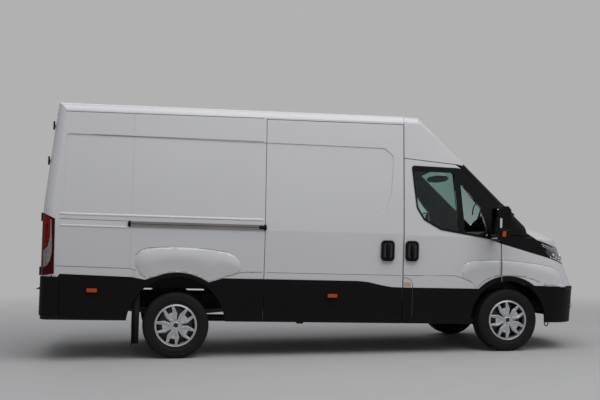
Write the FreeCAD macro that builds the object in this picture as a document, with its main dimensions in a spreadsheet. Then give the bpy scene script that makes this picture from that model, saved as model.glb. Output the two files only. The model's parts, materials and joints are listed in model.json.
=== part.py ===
import FreeCAD, Part
import math
import os
import Sketcher
from FreeCAD import Placement, Rotation, Vector

# Panel van with a high roof, long wheelbase and single rear wheels. Millimetres, +X forward,
# +Y left, +Z up. The body is drawn level in its own frame, whose X starts at the rear axle,
# and stands nose down by the rake of the empty van. The wheels stand straight on the ground.

# Driving dimensions: name, value in millimetres (or degrees where the name ends in angle).
SIZES = [
    ("wheelbase", 3520),
    ("rake_angle", 1.46),
    ("rake_pivot_height", 325),
    ("tyre_radius", 330),
    ("tyre_width", 225),
    ("rim_radius", 206),
    ("wheel_track", 1710),
    ("wall", 50),
    ("frame_depth", 100),
    ("glass_depth", 8),
    ("pressing_depth", 7),
    ("sheet_depth", 25),
    ("cladding_proud", 9),
    ("panel_gap", 6),
    ("seat_gap", 0.3),
    ("swing_clearance", 6),
    ("swing_room_depth", 36),
    ("sill_height", 318),
    ("sill_half_width", 975),
    ("waist_height", 1250),
    ("waist_half_width", 1004),
    ("roof_edge_height", 2482),
    ("roof_edge_half_width", 905),
    ("roof_edge_radius", 95),
    ("roof_crown_radius", 9000),
    ("roof_rise_angle", 0.65),
    ("seam_height", 2398),
    ("rear_face", 1322),
    ("rear_lean_height", 1450),
    ("rear_setback", 133),
    ("rear_corner_radius", 110),
    ("tall", 2800),
    ("cab_joint", 2334),
    ("cab_front", 3760),
    ("cab_front_waist", 940),
    ("cab_front_sill", 960),
    ("cab_front_roof", 600),
    ("screen_x", 3050),
    ("screen_height", 2050),
    ("screen_angle", 42.4),
    ("screen_bow_radius", 2500),
    ("pillar_radius", 165),
    ("nose_start", 3438),
    ("nose_mid", 4000),
    ("nose_front", 4515),
    ("nose_bow", 130),
    ("nose_corner_half_width", 640),
    ("nose_corner_radius", 420),
    ("bonnet_crown_radius", 2400),
    ("cladding_top", 766),
    ("cladding_front_top", 706),
    ("rear_arch_radius", 545),
    ("front_arch_radius", 476),
    ("arch_ring_width", 52),
    ("slide_rear", 872),
    ("slide_bottom", 333),
    ("cab_door_front", 3432),
    ("cab_door_top", 2046),
    ("rear_door_half_width", 868),
    ("rear_door_meeting_gap", 10),
    ("rear_door_bottom", 628),
    ("floor_height", 640),
    ("floor_plate", 20),
    ("wheel_box_wall", 12),
    ("wheel_box_inner", 690),
    ("rail_half_gauge", 400),
    ("rail_width", 66),
    ("rail_bottom", 420),
    ("rail_top", 560),
    ("cab_hinge_x", 3375),
    ("cab_hinge_y", 968),
    ("kingpin_half_track", 742),
    ("axle_tube_radius", 55),
    ("hub_half_width", 60),
    ("hubcap_radius", 214),
    ("steering_wheel_radius", 195),
    ("step_rear", 1385),
    ("step_bow_radius", 7300),
    ("middle_x", 1557.5),
    ("swage_proud", 6),
    ("grille_half_width", 430),
    ("bumper_top", 742),
    ("nose_base", 356),
    ("rear_door_top", 2352),
    ("rear_arch_height", 280),
    ("front_arch_height", 370),
    ("floor_half_width", 890),
    ("cab_floor_height", 590),
    ("screen_length", 926),
    ("screen_half_width", 775),
    ("screen_flange", 30),
    ("tow_socket_radius", 10),
    ("rack_hole_radius", 4),
]

doc = FreeCAD.newDocument("panel_van")
sheet = doc.addObject("Spreadsheet::Sheet", "Sizes")
for row, (alias, value) in enumerate(SIZES, start=1):
    sheet.set("A%d" % row, alias)
    sheet.set("B%d" % row, str(value))
    sheet.setAlias("B%d" % row, alias)
doc.recompute()


class Size:
    """A length that knows both its value and the sheet expression it comes from."""

    def __init__(self, value, text):
        self.value = float(value)
        self.text = text

    def __add__(self, other):
        other = size(other)
        return Size(self.value + other.value, "(%s + %s)" % (self.text, other.text))

    def __sub__(self, other):
        other = size(other)
        return Size(self.value - other.value, "(%s - %s)" % (self.text, other.text))

    def __mul__(self, factor):
        factor = size(factor)
        return Size(self.value * factor.value, "(%s * %s)" % (self.text, factor.text))

    def __radd__(self, other):
        return size(other) + self

    def __rsub__(self, other):
        return size(other) - self

    def __rmul__(self, other):
        return size(other) * self

    def __neg__(self):
        return Size(-self.value, "(0 - %s)" % self.text)


def size(number):
    """A plain number as a Size; a Size stays as it is."""
    if isinstance(number, Size):
        return number
    return Size(number, "%.6f" % number if number >= 0 else "(0 - %.6f)" % -number)


class Named:
    """The sheet's cells as Size attributes."""

    def __getattr__(self, alias):
        return Size(float(sheet.get(alias)), "Sizes.%s" % alias)


s = Named()


def bind(obj, prop, length):
    """Set a property from a Size through an expression."""
    obj.setExpression(prop, size(length).text)


# How each prism direction sees its outline: sketch plane, sign of the plane's normal.
PLANES = {"X": ("YZ_Plane", 1), "Y": ("XZ_Plane", -1), "Z": ("XY_Plane", 1)}


def outline_sketch(body, name, axis, outline, offset):
    """A closed sketch on the plane across an axis. A vertex is (u, v) or (u, v, radius): the
    edge that leaves it is then an arc of that radius, bulging right of its way if positive,
    which is outward where the outline runs counterclockwise."""
    plane_role, sign = PLANES[axis]
    sketch = body.newObject("Sketcher::SketchObject", name)
    plane = [f for f in body.Origin.OriginFeatures if f.Role == plane_role][0]
    sketch.AttachmentSupport = (plane, [""])
    sketch.MapMode = "FlatFace"
    sketch.setExpression("AttachmentOffset.Base.z", (size(offset) * sign).text)
    points = [(size(v[0]), size(v[1])) for v in outline]
    count = len(points)
    for index, vertex in enumerate(outline):
        (u0, v0), (u1, v1) = points[index], points[(index + 1) % count]
        start = Vector(u0.value, v0.value, 0)
        end = Vector(u1.value, v1.value, 0)
        if len(vertex) == 2:
            sketch.addGeometry(Part.LineSegment(start, end), False)
            continue
        radius = abs(size(vertex[2]).value)
        side = 1 if size(vertex[2]).value > 0 else -1
        chord = end.sub(start)
        sag = radius - math.sqrt(radius ** 2 - (chord.Length / 2) ** 2)
        right = Vector(chord.y, -chord.x, 0).normalize()
        middle = (start + end) * 0.5 + right * (sag * side)
        sketch.addGeometry(Part.Arc(start, middle, end), False)
    starts = []
    ends = []
    for index in range(count):
        edge = sketch.Geometry[index]
        first = edge.StartPoint if hasattr(edge, "StartPoint") else edge.value(edge.FirstParameter)
        here = Vector(points[index][0].value, points[index][1].value, 0)
        forward = first.distanceToPoint(here) < 1e-3
        starts.append(1 if forward else 2)
        ends.append(2 if forward else 1)
    for index in range(count):
        after = (index + 1) % count
        sketch.addConstraint(
            Sketcher.Constraint("Coincident", index, ends[index], after, starts[after]))
    for index, (u, v) in enumerate(points):
        for kind, length in (("DistanceX", u), ("DistanceY", v)):
            number = sketch.addConstraint(
                Sketcher.Constraint(kind, -1, 1, index, starts[index], length.value))
            sketch.setExpression("Constraints[%d]" % number, length.text)
        if len(outline[index]) == 3:
            radius = size(outline[index][2])
            positive = radius if radius.value > 0 else -radius
            number = sketch.addConstraint(Sketcher.Constraint("Radius", index, positive.value))
            sketch.setExpression("Constraints[%d]" % number, positive.text)
    return sketch


def prism(name, axis, outline, low, high, rounds=()):
    """A padded outline from low to high along an axis. rounds is a list of (radius, vertex
    indexes): the long edges at those vertices are rounded."""
    body = doc.addObject("PartDesign::Body", name)
    start = low if PLANES[axis][1] > 0 else high
    sketch = outline_sketch(body, name + "_outline", axis, outline, start)
    pad = body.newObject("PartDesign::Pad", name + "_pad")
    pad.Profile = sketch
    bind(pad, "Length", size(high) - low)
    body.Tip = pad
    for radius, vertices in rounds:
        doc.recompute()
        names = long_edges(body.Shape, axis, [outline[v] for v in vertices])
        base = body.Tip
        fillet = body.newObject("PartDesign::Fillet", name + "_round")
        fillet.Base = (base, names)
        bind(fillet, "Radius", radius)
        body.Tip = fillet
    return body


def long_edges(shape, axis, corners):
    """Names of the straight edges along an axis that pass the given outline corners."""
    pick = {"X": ("y", "z", "x"), "Y": ("x", "z", "y"), "Z": ("x", "y", "z")}[axis]
    names = []
    for number, edge in enumerate(shape.Edges, start=1):
        first, last = edge.Vertexes[0].Point, edge.Vertexes[-1].Point
        if abs(getattr(first, pick[2]) - getattr(last, pick[2])) < 1e-6:
            continue
        for corner in corners:
            du = max(abs(getattr(p, pick[0]) - size(corner[0]).value) for p in (first, last))
            dv = max(abs(getattr(p, pick[1]) - size(corner[1]).value) for p in (first, last))
            if du < 0.01 and dv < 0.01:
                names.append("Edge%d" % number)
    return names


def ruled(name, axis, sections):
    """A straight-sided loft between outlines: sections are (offset, outline)."""
    body = doc.addObject("PartDesign::Body", name)
    sketches = []
    for number, (offset, outline) in enumerate(sections):
        sketches.append(
            outline_sketch(body, "%s_section_%d" % (name, number), axis, outline, offset))
    loft = body.newObject("PartDesign::AdditiveLoft", name + "_loft")
    loft.Profile = sketches[0]
    loft.Sections = sketches[1:]
    loft.Ruled = True
    body.Tip = loft
    return body


def turned(name, outline, angle=360):
    """An outline of (radius, y) turned about the Y axis."""
    body = doc.addObject("PartDesign::Body", name)
    sketch = outline_sketch(body, name + "_outline", "Z", outline, 0)
    turn = body.newObject("PartDesign::Revolution", name + "_turn")
    turn.Profile = sketch
    turn.ReferenceAxis = (sketch, ["V_Axis"])
    turn.Angle = angle
    body.Tip = turn
    return body


def block(name, x, y, z):
    """A box from (low, high) pairs."""
    box = doc.addObject("Part::Box", name)
    for prop, (low, high) in (("Length", x), ("Width", y), ("Height", z)):
        bind(box, prop, size(high) - low)
    for letter, (low, high) in zip("xyz", (x, y, z)):
        bind(box, "Placement.Base.%s" % letter, low)
    return box


TURNS = {"X": Rotation(Vector(0, 1, 0), 90), "Y": Rotation(Vector(1, 0, 0), -90),
         "Z": Rotation()}


def rod(name, axis, centre, radius, low, high):
    """A cylinder along an axis, from low to high; centre gives the other two coordinates."""
    tube = doc.addObject("Part::Cylinder", name)
    bind(tube, "Radius", radius)
    bind(tube, "Height", size(high) - low)
    tube.Placement = Placement(Vector(), TURNS[axis])
    others = [letter for letter in "XYZ" if letter != axis]
    bind(tube, "Placement.Base.%s" % axis.lower(), low)
    for letter, value in zip(others, centre):
        bind(tube, "Placement.Base.%s" % letter.lower(), value)
    return tube


def fuse(name, *shapes):
    joined = doc.addObject("Part::MultiFuse", name)
    joined.Shapes = list(shapes)
    joined.Refine = True
    return joined


def common(name, *shapes):
    shared = doc.addObject("Part::MultiCommon", name)
    shared.Shapes = list(shapes)
    return shared


def cut(name, base, *tools):
    """The base without the tools, taken away one after the other."""
    for number, tool in enumerate(tools, start=1):
        step = doc.addObject("Part::Cut", name if number == len(tools) else name + "_step")
        step.Base = base
        step.Tool = tool
        base = step
    return base


def group(name, *shapes):
    """Solids of one node that don't touch."""
    compound = doc.addObject("Part::Compound", name)
    compound.Links = list(shapes)
    return compound


def mirrored(name, source):
    """The same piece on the other side of the van."""
    copy = doc.addObject("Part::Mirroring", name)
    copy.Source = source
    copy.Base = Vector(0, 0, 0)
    copy.Normal = Vector(0, 1, 0)
    return copy


def both_sides(name, source):
    return group(name, source, mirrored(name + "_other", source))


# Where the body's own frame and the ground frame stand in the finished part.
GROUND = Placement(Vector(-s.middle_x.value, 0, 0), Rotation())
PIVOT = Vector(s.wheelbase.value / 2, 0, s.rake_pivot_height.value)
RAKE = Placement(Vector(), Rotation(Vector(0, 1, 0), s.rake_angle.value), PIVOT)
RAKED = GROUND.multiply(RAKE)

pieces = {}


def piece(label, obj, place=RAKED):
    """Names a finished sub-part and puts it in the van."""
    obj.Label = label
    obj.Placement = place.multiply(obj.Placement)
    pieces[label] = obj


def other_side(label, source):
    """The mirror image of a finished piece, already in its place."""
    piece(label, mirrored(label, pieces[source]), Placement())


# Hulls: the outer form of the load body, cab and nose, and the same form further in.

def body_section(inset, lift, sill, waist, roof):
    """Half widths at sill, waist and roof edge give a section with rounded, crowned roof."""
    inset = size(inset)
    radius = s.roof_edge_radius
    top = s.roof_edge_height + lift - inset
    side = roof - inset
    right = [(sill - inset, s.sill_height - 40), (waist - inset, s.waist_height),
             (side + radius * 0.09, top - radius * 0.92, radius),
             (side - radius * 0.83, top + radius * 0.08, s.roof_crown_radius)]
    left = [(-right[3][0], right[3][1], radius), (-right[2][0], right[2][1]),
            (-right[1][0], right[1][1]), (-right[0][0], right[0][1])]
    return right + left


def load_half_width(height):
    """Half width of the load body's straight side at a height, before any inset."""
    low, waist = s.sill_height - 40, s.waist_height
    edge = s.roof_edge_height - s.roof_edge_radius * 0.92
    if height <= waist.value:
        share = (height - low.value) / (waist.value - low.value)
        return s.sill_half_width + (s.waist_half_width - s.sill_half_width) * share
    share = (height - waist.value) / (edge.value - waist.value)
    top = s.roof_edge_half_width + s.roof_edge_radius * 0.09
    return s.waist_half_width + (top - s.waist_half_width) * share


def load_hull(name, inset):
    """The load body's form, drawn in by an inset: a rising section, cut by plan outlines with
    rounded rear corners that lean forward above the lean height."""
    section = prism(name + "_section", "X",
                    body_section(inset, 0, s.sill_half_width, s.waist_half_width,
                                 s.roof_edge_half_width),
                    -1500, s.cab_joint + 60)
    section.Placement = Placement(Vector(), Rotation(Vector(0, 1, 0), -s.roof_rise_angle.value))
    inset = size(inset)
    plans = []
    for height, back in ((s.sill_height - 42, 0), (s.waist_height, 0), (s.rear_lean_height, 0),
                         (s.tall, s.rear_setback)):
        wide = load_half_width(height.value) + 0.6 - inset
        rear = inset - s.rear_face + back
        corner = s.rear_corner_radius - inset
        plans.append((height, [
            (s.cab_joint, -wide), (s.cab_joint, wide), (rear + corner, wide, corner),
            (rear, wide - corner), (rear, corner - wide, corner), (rear + corner, -wide)]))
    return common(name, section, ruled(name + "_plan", "Z", plans))


def cab_hull(name, inset):
    """The cab's form: narrower towards the front, cut off by the raked, bowed windscreen."""
    lift = s.cab_joint * math.tan(math.radians(s.roof_rise_angle.value))
    inset = size(inset)
    loft = ruled(name + "_loft", "X", [
        (s.cab_joint, body_section(inset, lift, s.sill_half_width, s.waist_half_width,
                                   s.roof_edge_half_width)),
        (s.cab_front, body_section(inset, lift, s.cab_front_sill, s.cab_front_waist,
                                   s.cab_front_roof))])
    right = [(1040 - inset, -900 - inset), (900 - inset, -150 - inset, s.pillar_radius),
             (790 - inset, -8 - inset, s.screen_bow_radius)]
    left = [(-right[2][0], right[2][1], s.pillar_radius), (-right[1][0], right[1][1]),
            (-right[0][0], right[0][1])]
    screen = prism(name + "_screen", "X",
                   [(1100 - inset, -3000)] + right + left + [(inset - 1100, -3000)],
                   -2500, 2500)
    screen.Placement = Placement(Vector(s.screen_x.value, 0, s.screen_height.value),
                                 Rotation(Vector(0, 1, 0), s.screen_angle.value))
    return common(name, loft, screen)


# Nose sections: height, set back of the front, half width at the wing's middle and start.
NOSE_SECTIONS = [
    (300, 28, 949, 981),
    (740, 0, 962, 988),
    (1460, 290, 872, 945),
]


def nose_hull(name, inset):
    """The nose: a loft of plan outlines, capped by the crowned bonnet line."""
    inset = size(inset)
    sections = []
    for height, back, middle, start in NOSE_SECTIONS:
        front = s.nose_front - s.nose_bow - back - inset
        corner = s.nose_corner_half_width - inset
        bow_radius = corner * corner * (0.5 / s.nose_bow.value) + s.nose_bow * 0.5
        sections.append((height, [
            (s.nose_start - 30, inset - start), (s.nose_mid - back * 0.4, inset - middle,
                                                 s.nose_corner_radius),
            (front, -corner, bow_radius), (front, corner, s.nose_corner_radius),
            (s.nose_mid - back * 0.4, middle - inset), (s.nose_start - 30, start - inset)]))
    loft = ruled(name + "_loft", "Z", sections)
    crown = s.bonnet_crown_radius - 1400
    barrel = doc.addObject("PartDesign::Body", name + "_barrel")
    profile = outline_sketch(barrel, name + "_barrel_outline", "Y", [
        (3300, 1200), (4700, 1200), (4700, crown + 860 - inset),
        (4350 - inset, crown + 1170 - inset, 450), (4100, crown + 1375 - inset, 1500),
        (3700, crown + 1440 - inset), (3300, crown + 1490 - inset)], 0)
    turn = barrel.newObject("PartDesign::Revolution", name + "_barrel_turn")
    turn.Profile = profile
    turn.ReferenceAxis = (profile, ["H_Axis"])
    turn.Angle = 120
    turn.Midplane = True
    barrel.Tip = turn
    bind(barrel, "Placement.Base.z", -crown)
    return common(name, loft, barrel)


load_outer = load_hull("load_outer", 0)
load_pressed = load_hull("load_pressed", s.pressing_depth)
load_inner = load_hull("load_inner", s.wall)
load_seat = load_hull("load_seat", s.wall + s.seat_gap)
load_leaf_back = load_hull("load_leaf_back", s.wall - s.seat_gap)
load_frame = load_hull("load_frame", s.frame_depth)
load_swage = load_hull("load_swage", -s.swage_proud)
load_proud = load_hull("load_proud", -s.cladding_proud)
cab_outer = cab_hull("cab_outer", 0)
cab_glass = cab_hull("cab_glass", s.glass_depth)
cab_glass_back = cab_hull("cab_glass_back", s.glass_depth * 2)
cab_under_glass = cab_hull("cab_under_glass", s.glass_depth + s.seat_gap)
cab_inner = cab_hull("cab_inner", s.wall)
cab_leaf_back = cab_hull("cab_leaf_back", s.wall - s.swing_clearance)
cab_seal = cab_hull("cab_seal", s.wall - s.swing_clearance + s.seat_gap)
cab_swing = cab_hull("cab_swing", s.wall + s.swing_room_depth)
cab_frame = cab_hull("cab_frame", s.frame_depth)
cab_swage = cab_hull("cab_swage", -s.swage_proud)
cab_proud = cab_hull("cab_proud", -s.cladding_proud)
nose_outer = nose_hull("nose_outer", 0)
nose_inner = nose_hull("nose_inner", s.sheet_depth)
nose_seat = nose_hull("nose_seat", s.sheet_depth + s.seat_gap)
nose_carrier = nose_hull("nose_carrier", s.sheet_depth + 45)
nose_proud = nose_hull("nose_proud", -s.cladding_proud)

load_shell = cut("load_shell", load_outer, load_inner)
load_leaf = cut("load_leaf", load_outer, load_leaf_back)
load_ring = cut("load_ring", load_inner, load_frame)
load_skin = cut("load_skin", load_outer, load_pressed)
load_relief = cut("load_relief", load_swage, load_outer)
load_cover = cut("load_cover", load_proud, load_outer)
cab_shell = cut("cab_wall", cab_outer, cab_inner)
cab_leaf = cut("cab_leaf", cab_outer, cab_leaf_back)
cab_ring = cut("cab_ring", cab_seal, cab_frame)
screen_skin = cut("screen_skin", cab_outer, cab_glass)
cab_relief = cut("cab_relief", cab_swage, cab_outer)
cab_cover = cut("cab_cover", cab_proud, cab_outer)
nose_shell = cut("nose_shell", nose_outer, nose_inner)
nose_cover = cut("nose_cover", nose_proud, nose_outer)

NEAR = -1120
FAR = -650


def side_region(name, outline, rounds=()):
    """A prism through the right hand wall."""
    return prism(name, "Y", outline, NEAR, FAR, rounds)


# Load body.
front = s.cab_joint
seam = s.seam_height
rise = math.tan(math.radians(s.roof_rise_angle.value))
tail = -s.rear_face - 60
roof_zone = prism("roof_zone", "Y", [
    (tail, s.rear_door_top + s.panel_gap), (s.wall + 22 - s.rear_face, s.rear_door_top + s.panel_gap),
    (s.wall + 22 - s.rear_face, seam + (s.wall + 22 - s.rear_face) * rise),
    (front, seam + front * rise), (front, s.tall), (tail, s.tall)], NEAR, -NEAR)


def rear_slab(name, depth, low, high, y_low, y_high):
    """The slab behind the load body's leaning rear face, reaching depth into it."""
    inner = size(depth) - s.rear_face
    return prism(name, "Y", [
        (tail, low), (inner, low), (inner, s.rear_lean_height),
        (inner + s.rear_setback * ((high.value - s.rear_lean_height.value)
                                   / (s.tall.value - s.rear_lean_height.value)), high),
        (tail, high)], y_low, y_high)


door_edge = s.rear_door_half_width + s.panel_gap
rear_zone = rear_slab("rear_zone", s.wall + s.swing_clearance + 2, size(200), s.rear_door_top + s.panel_gap,
                      -door_edge, door_edge)
lamp_hole = prism("rear_lamp_hole", "Y", [(-1340, 1379), (-1202, 1316), (-1196, 780), (-1340, 757)],
                  NEAR, -door_edge)
near = s.seat_gap
lamp_zone = prism("rear_lamp_zone", "Y", [
    (-1340, 1379 - near), (-1202 - near, 1316 - near), (-1196 - near, 780 + near),
    (-1340, 757 + near)], NEAR, -door_edge - near)
rear_arch = rod("rear_arch", "Y", (0, s.rear_arch_height), s.rear_arch_radius - s.arch_ring_width,
                NEAR, FAR)
rear_arch_edge = rod("rear_arch_edge", "Y", (0, s.rear_arch_height), s.rear_arch_radius, NEAR, FAR)
front_arch = rod("front_arch", "Y", (s.wheelbase, s.front_arch_height),
                 s.front_arch_radius - s.arch_ring_width, NEAR, FAR)
front_arch_edge = rod("front_arch_edge", "Y", (s.wheelbase, s.front_arch_height),
                      s.front_arch_radius, NEAR, FAR)
gap = s.panel_gap
# Outlines of the black cladding: behind the sliding door with the arch ring, and on the door.
band_rear_zone = side_region("band_rear_zone", [
    (-1142, s.sill_height + 16), (s.slide_rear - gap, s.sill_height + 16),
    (s.slide_rear - gap, s.cladding_top), (420, s.cladding_top), (320, 738), (-320, 738),
    (-450, s.cladding_top - 4), (-1142, s.cladding_top + 14)])
ring_full = common("ring_rear", rear_arch_edge, side_region("ring_zone", [
    (-600, s.sill_height + 16), (600, s.sill_height + 16), (600, 900), (-600, 900)]))
clad_rear = fuse("band_rear_area", band_rear_zone, ring_full)
slide_band_zone = side_region("slide_band_zone", [
    (s.slide_rear, s.slide_bottom), (front - gap, s.slide_bottom),
    (front - gap, s.cladding_front_top), (2214, s.cladding_front_top + 2), (2100, 726),
    (1960, 756), (1844, s.cladding_top - 1), (s.slide_rear, s.cladding_top)])

pressing_top = 2161
pressing_bottom = 1372
bulge_outline = [(-430, 720), (840, 720), (760, 790), (560, 1020), (430, 1062), (-230, 1070),
                 (-400, 960)]
rear_strip = [(-1190, 700), (-420, 700), (-440, 800), (-470, 838), (-1190, 850)]
long_strip = [(s.slide_rear, 700), (front, 690), (front, 842), (s.slide_rear, 838)]


def load_side(name, front_edge, pressing_front, strips):
    """One wall of the load body with its pressings and wheel bulge, back from front_edge."""
    zone = side_region(name + "_zone", [
        (tail, s.sill_height + 14), (front_edge, s.sill_height + 14),
        (front_edge, s.tall), (tail, s.tall)])
    wall = common(name + "_wall", load_shell, zone)
    pressing = side_region(name + "_pressing_zone", [
        (-1130, pressing_bottom), (pressing_front, pressing_bottom),
        (pressing_front, pressing_top), (-1130, pressing_top)],
        [(40, (0, 3))])
    recess = common(name + "_recess", load_skin, pressing)
    bulge_zone = side_region(name + "_bulge_zone", bulge_outline, [(90, (4, 5, 6))])
    bulge = common(name + "_bulge", load_relief, bulge_zone)
    raised = [bulge] + [common("%s_strip_%d" % (name, n), load_relief,
                               side_region("%s_strip_zone_%d" % (name, n), outline))
                        for n, outline in enumerate(strips)]
    relief = cut(name + "_relief", fuse(name + "_swages", *raised), clad_rear, slide_band_zone)
    pressed = cut(name + "_pressed", wall, recess, roof_zone, rear_zone, lamp_hole)
    ledge = common(name + "_ledge", load_ring, side_region(name + "_ledge_zone", [
        (-1205, s.floor_height - 40), (front, s.floor_height - 40),
        (front, s.floor_height - s.seat_gap), (-1205, s.floor_height - s.seat_gap)]))
    return cut(name + "_trimmed", fuse(name + "_raised", pressed, relief, ledge), rear_arch)


ring_zone = side_region("door_ring_zone", [
    (s.slide_rear - 60, s.floor_height - 40), (front, s.floor_height - 40), (front, seam - 20),
    (s.slide_rear - 60, seam - 20)])
ring_opening = side_region("door_ring_opening", [
    (s.slide_rear + 70, s.floor_height - s.seat_gap), (front - 85, s.floor_height - s.seat_gap),
    (front - 85, seam - 70), (s.slide_rear + 70, seam - 70)], [(60, (2, 3))])
door_ring = cut("door_ring", common("door_ring_band", load_ring, ring_zone), ring_opening)
side_right = fuse("side_right", load_side("side_right", s.slide_rear - gap, s.slide_rear - gap,
                                          [rear_strip]), door_ring)
piece("body_side_right", side_right)
piece("body_side_left", mirrored("side_left", load_side("side_left_source", front, front - 120,
                                                        [rear_strip, long_strip])))

slide_zone = side_region("slide_zone", [
    (s.slide_rear, s.slide_bottom), (front - s.panel_gap, s.slide_bottom),
    (front - s.panel_gap, seam - s.panel_gap + front * rise),
    (s.slide_rear, seam - s.panel_gap + s.slide_rear * rise)])
slide_pressing = side_region("slide_pressing", [
    (s.slide_rear - 5, pressing_bottom), (1832, pressing_bottom), (2130, 1480), (2200, 1680),
    (2222, 2080), (2126, pressing_top), (s.slide_rear - 5, pressing_top)],
    [(120, (1, 2)), (60, (3,)), (60, (4, 5))])
slide_strip_zone = side_region("slide_strip_zone", [
    (s.slide_rear, 700), (front - s.panel_gap, 690), (front - s.panel_gap, 842),
    (s.slide_rear, 838)])
slide_wall = cut("slide_pressed", common("slide_wall", load_leaf, slide_zone),
                 common("slide_recess", load_skin, slide_pressing))
piece("sliding_door", fuse("slide_panel", slide_wall, cut("slide_strip", common(
    "slide_swage", load_relief, slide_strip_zone), slide_band_zone)))

header_zone = block("header_zone", (tail, -1100), (FAR + near, -FAR - near),
                    (s.rear_door_top + s.panel_gap, seam))
roof_shell = cut("roof_shell", load_shell, cut("below_roof", block(
    "roof_rest", (tail, front + 20), (NEAR, -NEAR), (100, s.tall)), roof_zone, header_zone))

# Threaded roof rack points, upright in the roof: X of each pair.
RACK_ROWS = [-900, 500, 1900]
rack_y = 720
rack_depth = 30
crown_edge = s.roof_edge_half_width - s.roof_edge_radius * 0.83
crown_rise = (crown_edge.value ** 2 - rack_y ** 2) / (2 * s.roof_crown_radius.value)
rack_holes = []
for number, x in enumerate(RACK_ROWS):
    surface = s.roof_edge_height + s.roof_edge_radius * 0.08 + crown_rise + x * rise
    for side_name, y in (("right", -rack_y), ("left", rack_y)):
        rack_holes.append(rod("rack_hole_%s_%d" % (side_name, number), "Z", (x, y),
                              s.rack_hole_radius, surface - rack_depth, s.tall))
piece("roof", cut("roof_drilled", roof_shell, *rack_holes))

leaf_zone = rear_slab("rear_leaf_zone", s.wall + 6, s.rear_door_bottom, s.rear_door_top,
                      -s.rear_door_half_width, -s.rear_door_meeting_gap * 0.5)
piece("rear_door_right", common("rear_leaf", load_shell, leaf_zone))
other_side("rear_door_left", "rear_door_right")

lamp = common("lamp_body", cut("lamp_shell", load_swage, load_inner), lamp_zone)

# Floor with ribs, wheel boxes and rear sill; it lies on the ledges of the body sides.
floor_back = s.wall + 24 - s.rear_face
floor_top = s.floor_height + s.floor_plate
rib_top = floor_top + 8
floor_plate = block("floor_plate", (floor_back, front - 60), (-1000, 1000),
                    (s.floor_height, floor_top))
ribs = [block("floor_rib_%d" % n, (floor_back + 20, front - 80), (y - 14, y + 14),
              (floor_top - 1, rib_top)) for n, y in enumerate(range(-550, 551, 110))]
rear_sill = block("rear_sill", (12 - s.rear_face, s.wall + 26 - s.rear_face),
                  (-s.rear_door_half_width, s.rear_door_half_width),
                  (s.rail_top + 4, s.rear_door_bottom - s.panel_gap))
rear_post = block("rear_post", (s.wall + s.seat_gap - s.rear_face, s.wall + 60 - s.rear_face),
                  (-s.rear_door_half_width, s.rear_door_half_width),
                  (s.rail_top + 4, s.floor_height + 1))
box_radius = s.rear_arch_radius - s.arch_ring_width + 10
box_outer = rod("box_outer", "Y", (0, s.rear_arch_height), box_radius, -1000, -s.wheel_box_inner)
box_hollow = rod("box_hollow", "Y", (0, s.rear_arch_height), box_radius - s.wheel_box_wall,
                 -1010, -s.wheel_box_inner - s.wheel_box_wall)
below_floor = block("below_floor", (-600, 600), (-1020, -600), (-400, s.floor_height))
box_low = cut("box_low", box_outer, below_floor)
hollow_left = mirrored("hollow_left", box_hollow)
floor_joined = fuse("floor_joined", floor_plate, box_low, mirrored("box_left", box_low), *ribs)
ring_bars = [block("ring_bar_%d" % n, (low, high), (-1010, -880), (s.floor_height - 10, rib_top))
             for n, (low, high) in enumerate(((s.slide_rear - 66, s.slide_rear + 76),
                                              (front - 93, front + 6)))]
floor_fitted = common("floor_fitted", load_seat, cut("floor_open", floor_joined, box_hollow,
                                                     hollow_left, *ring_bars))
piece("load_floor", fuse("floor_all", floor_fitted, rear_sill, rear_post))

bulkhead_slab = block("bulkhead_slab", (front - 50, front - 26), (-1000, 1000),
                      (rib_top + s.seat_gap, s.tall))
piece("bulkhead", cut("bulkhead_plate", common("bulkhead_sheet", load_seat, bulkhead_slab),
                      door_ring))

# Cab.
slope = math.radians(s.screen_angle.value)
cos_s, sin_s = math.cos(slope), math.sin(slope)


def on_screen(along, depth):
    """A point of the cab's side view, from the windscreen's top edge: down along the glass
    and inwards from it."""
    return (s.screen_x + along * cos_s - depth * sin_s,
            s.screen_height - along * sin_s - depth * cos_s)


cap_rear_height = s.cab_door_top + 20
cap_zone = prism("cap_zone", "Y", [
    (front + 3, cap_rear_height), (2944, s.cab_door_top - 14), on_screen(0, 40),
    on_screen(0, -420), (3400, s.tall), (front + 3, s.tall)], NEAR, -NEAR)
piece("cab_roof", common("cap", cab_shell, cap_zone))

screen_zone = prism("screen_zone", "X", [
    (-s.screen_half_width, -260), (s.screen_half_width, -260),
    (s.screen_half_width, 200), (-s.screen_half_width, 200)], s.panel_gap, s.screen_length)
screen_zone.Placement = Placement(Vector(s.screen_x.value, 0, s.screen_height.value),
                                  Rotation(Vector(0, 1, 0), s.screen_angle.value))
piece("windscreen", common("screen", screen_skin, screen_zone))

door_gap = s.panel_gap
door_outline = [
    (front + door_gap, s.slide_bottom), (s.cab_door_front, s.slide_bottom),
    (s.cab_door_front, 1590), on_screen(8, 80), (2940, s.cab_door_top - 22),
    (front + door_gap, s.cab_door_top + 13)]
door_hole_outline = [
    (front, s.slide_bottom - 60), (s.cab_door_front + door_gap, s.slide_bottom - 60),
    (s.cab_door_front + door_gap, 1592), on_screen(6, 73), (2942, s.cab_door_top - 14),
    (front, s.cab_door_top + 20)]
door_zone = side_region("cab_door_zone", door_outline)
door_hole = prism("cab_door_hole", "Y", door_hole_outline, NEAR, FAR)
main_window = [(2565, 1432), (2750, 1338), (2955, 1306), (2912, 1936), (2436, 1936), (2492, 1548)]
quarter_window = [(3018, 1300), (3284, 1264), (3222, 1560), (2985, 1843)]
window_rounds = [(25, (3, 4)), (110, (5,)), (60, (0,))]
main_hole = side_region("main_hole", main_window, window_rounds)
quarter_hole = side_region("quarter_hole", quarter_window, [(20, (0,)), (15, (1, 2, 3))])
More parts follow.
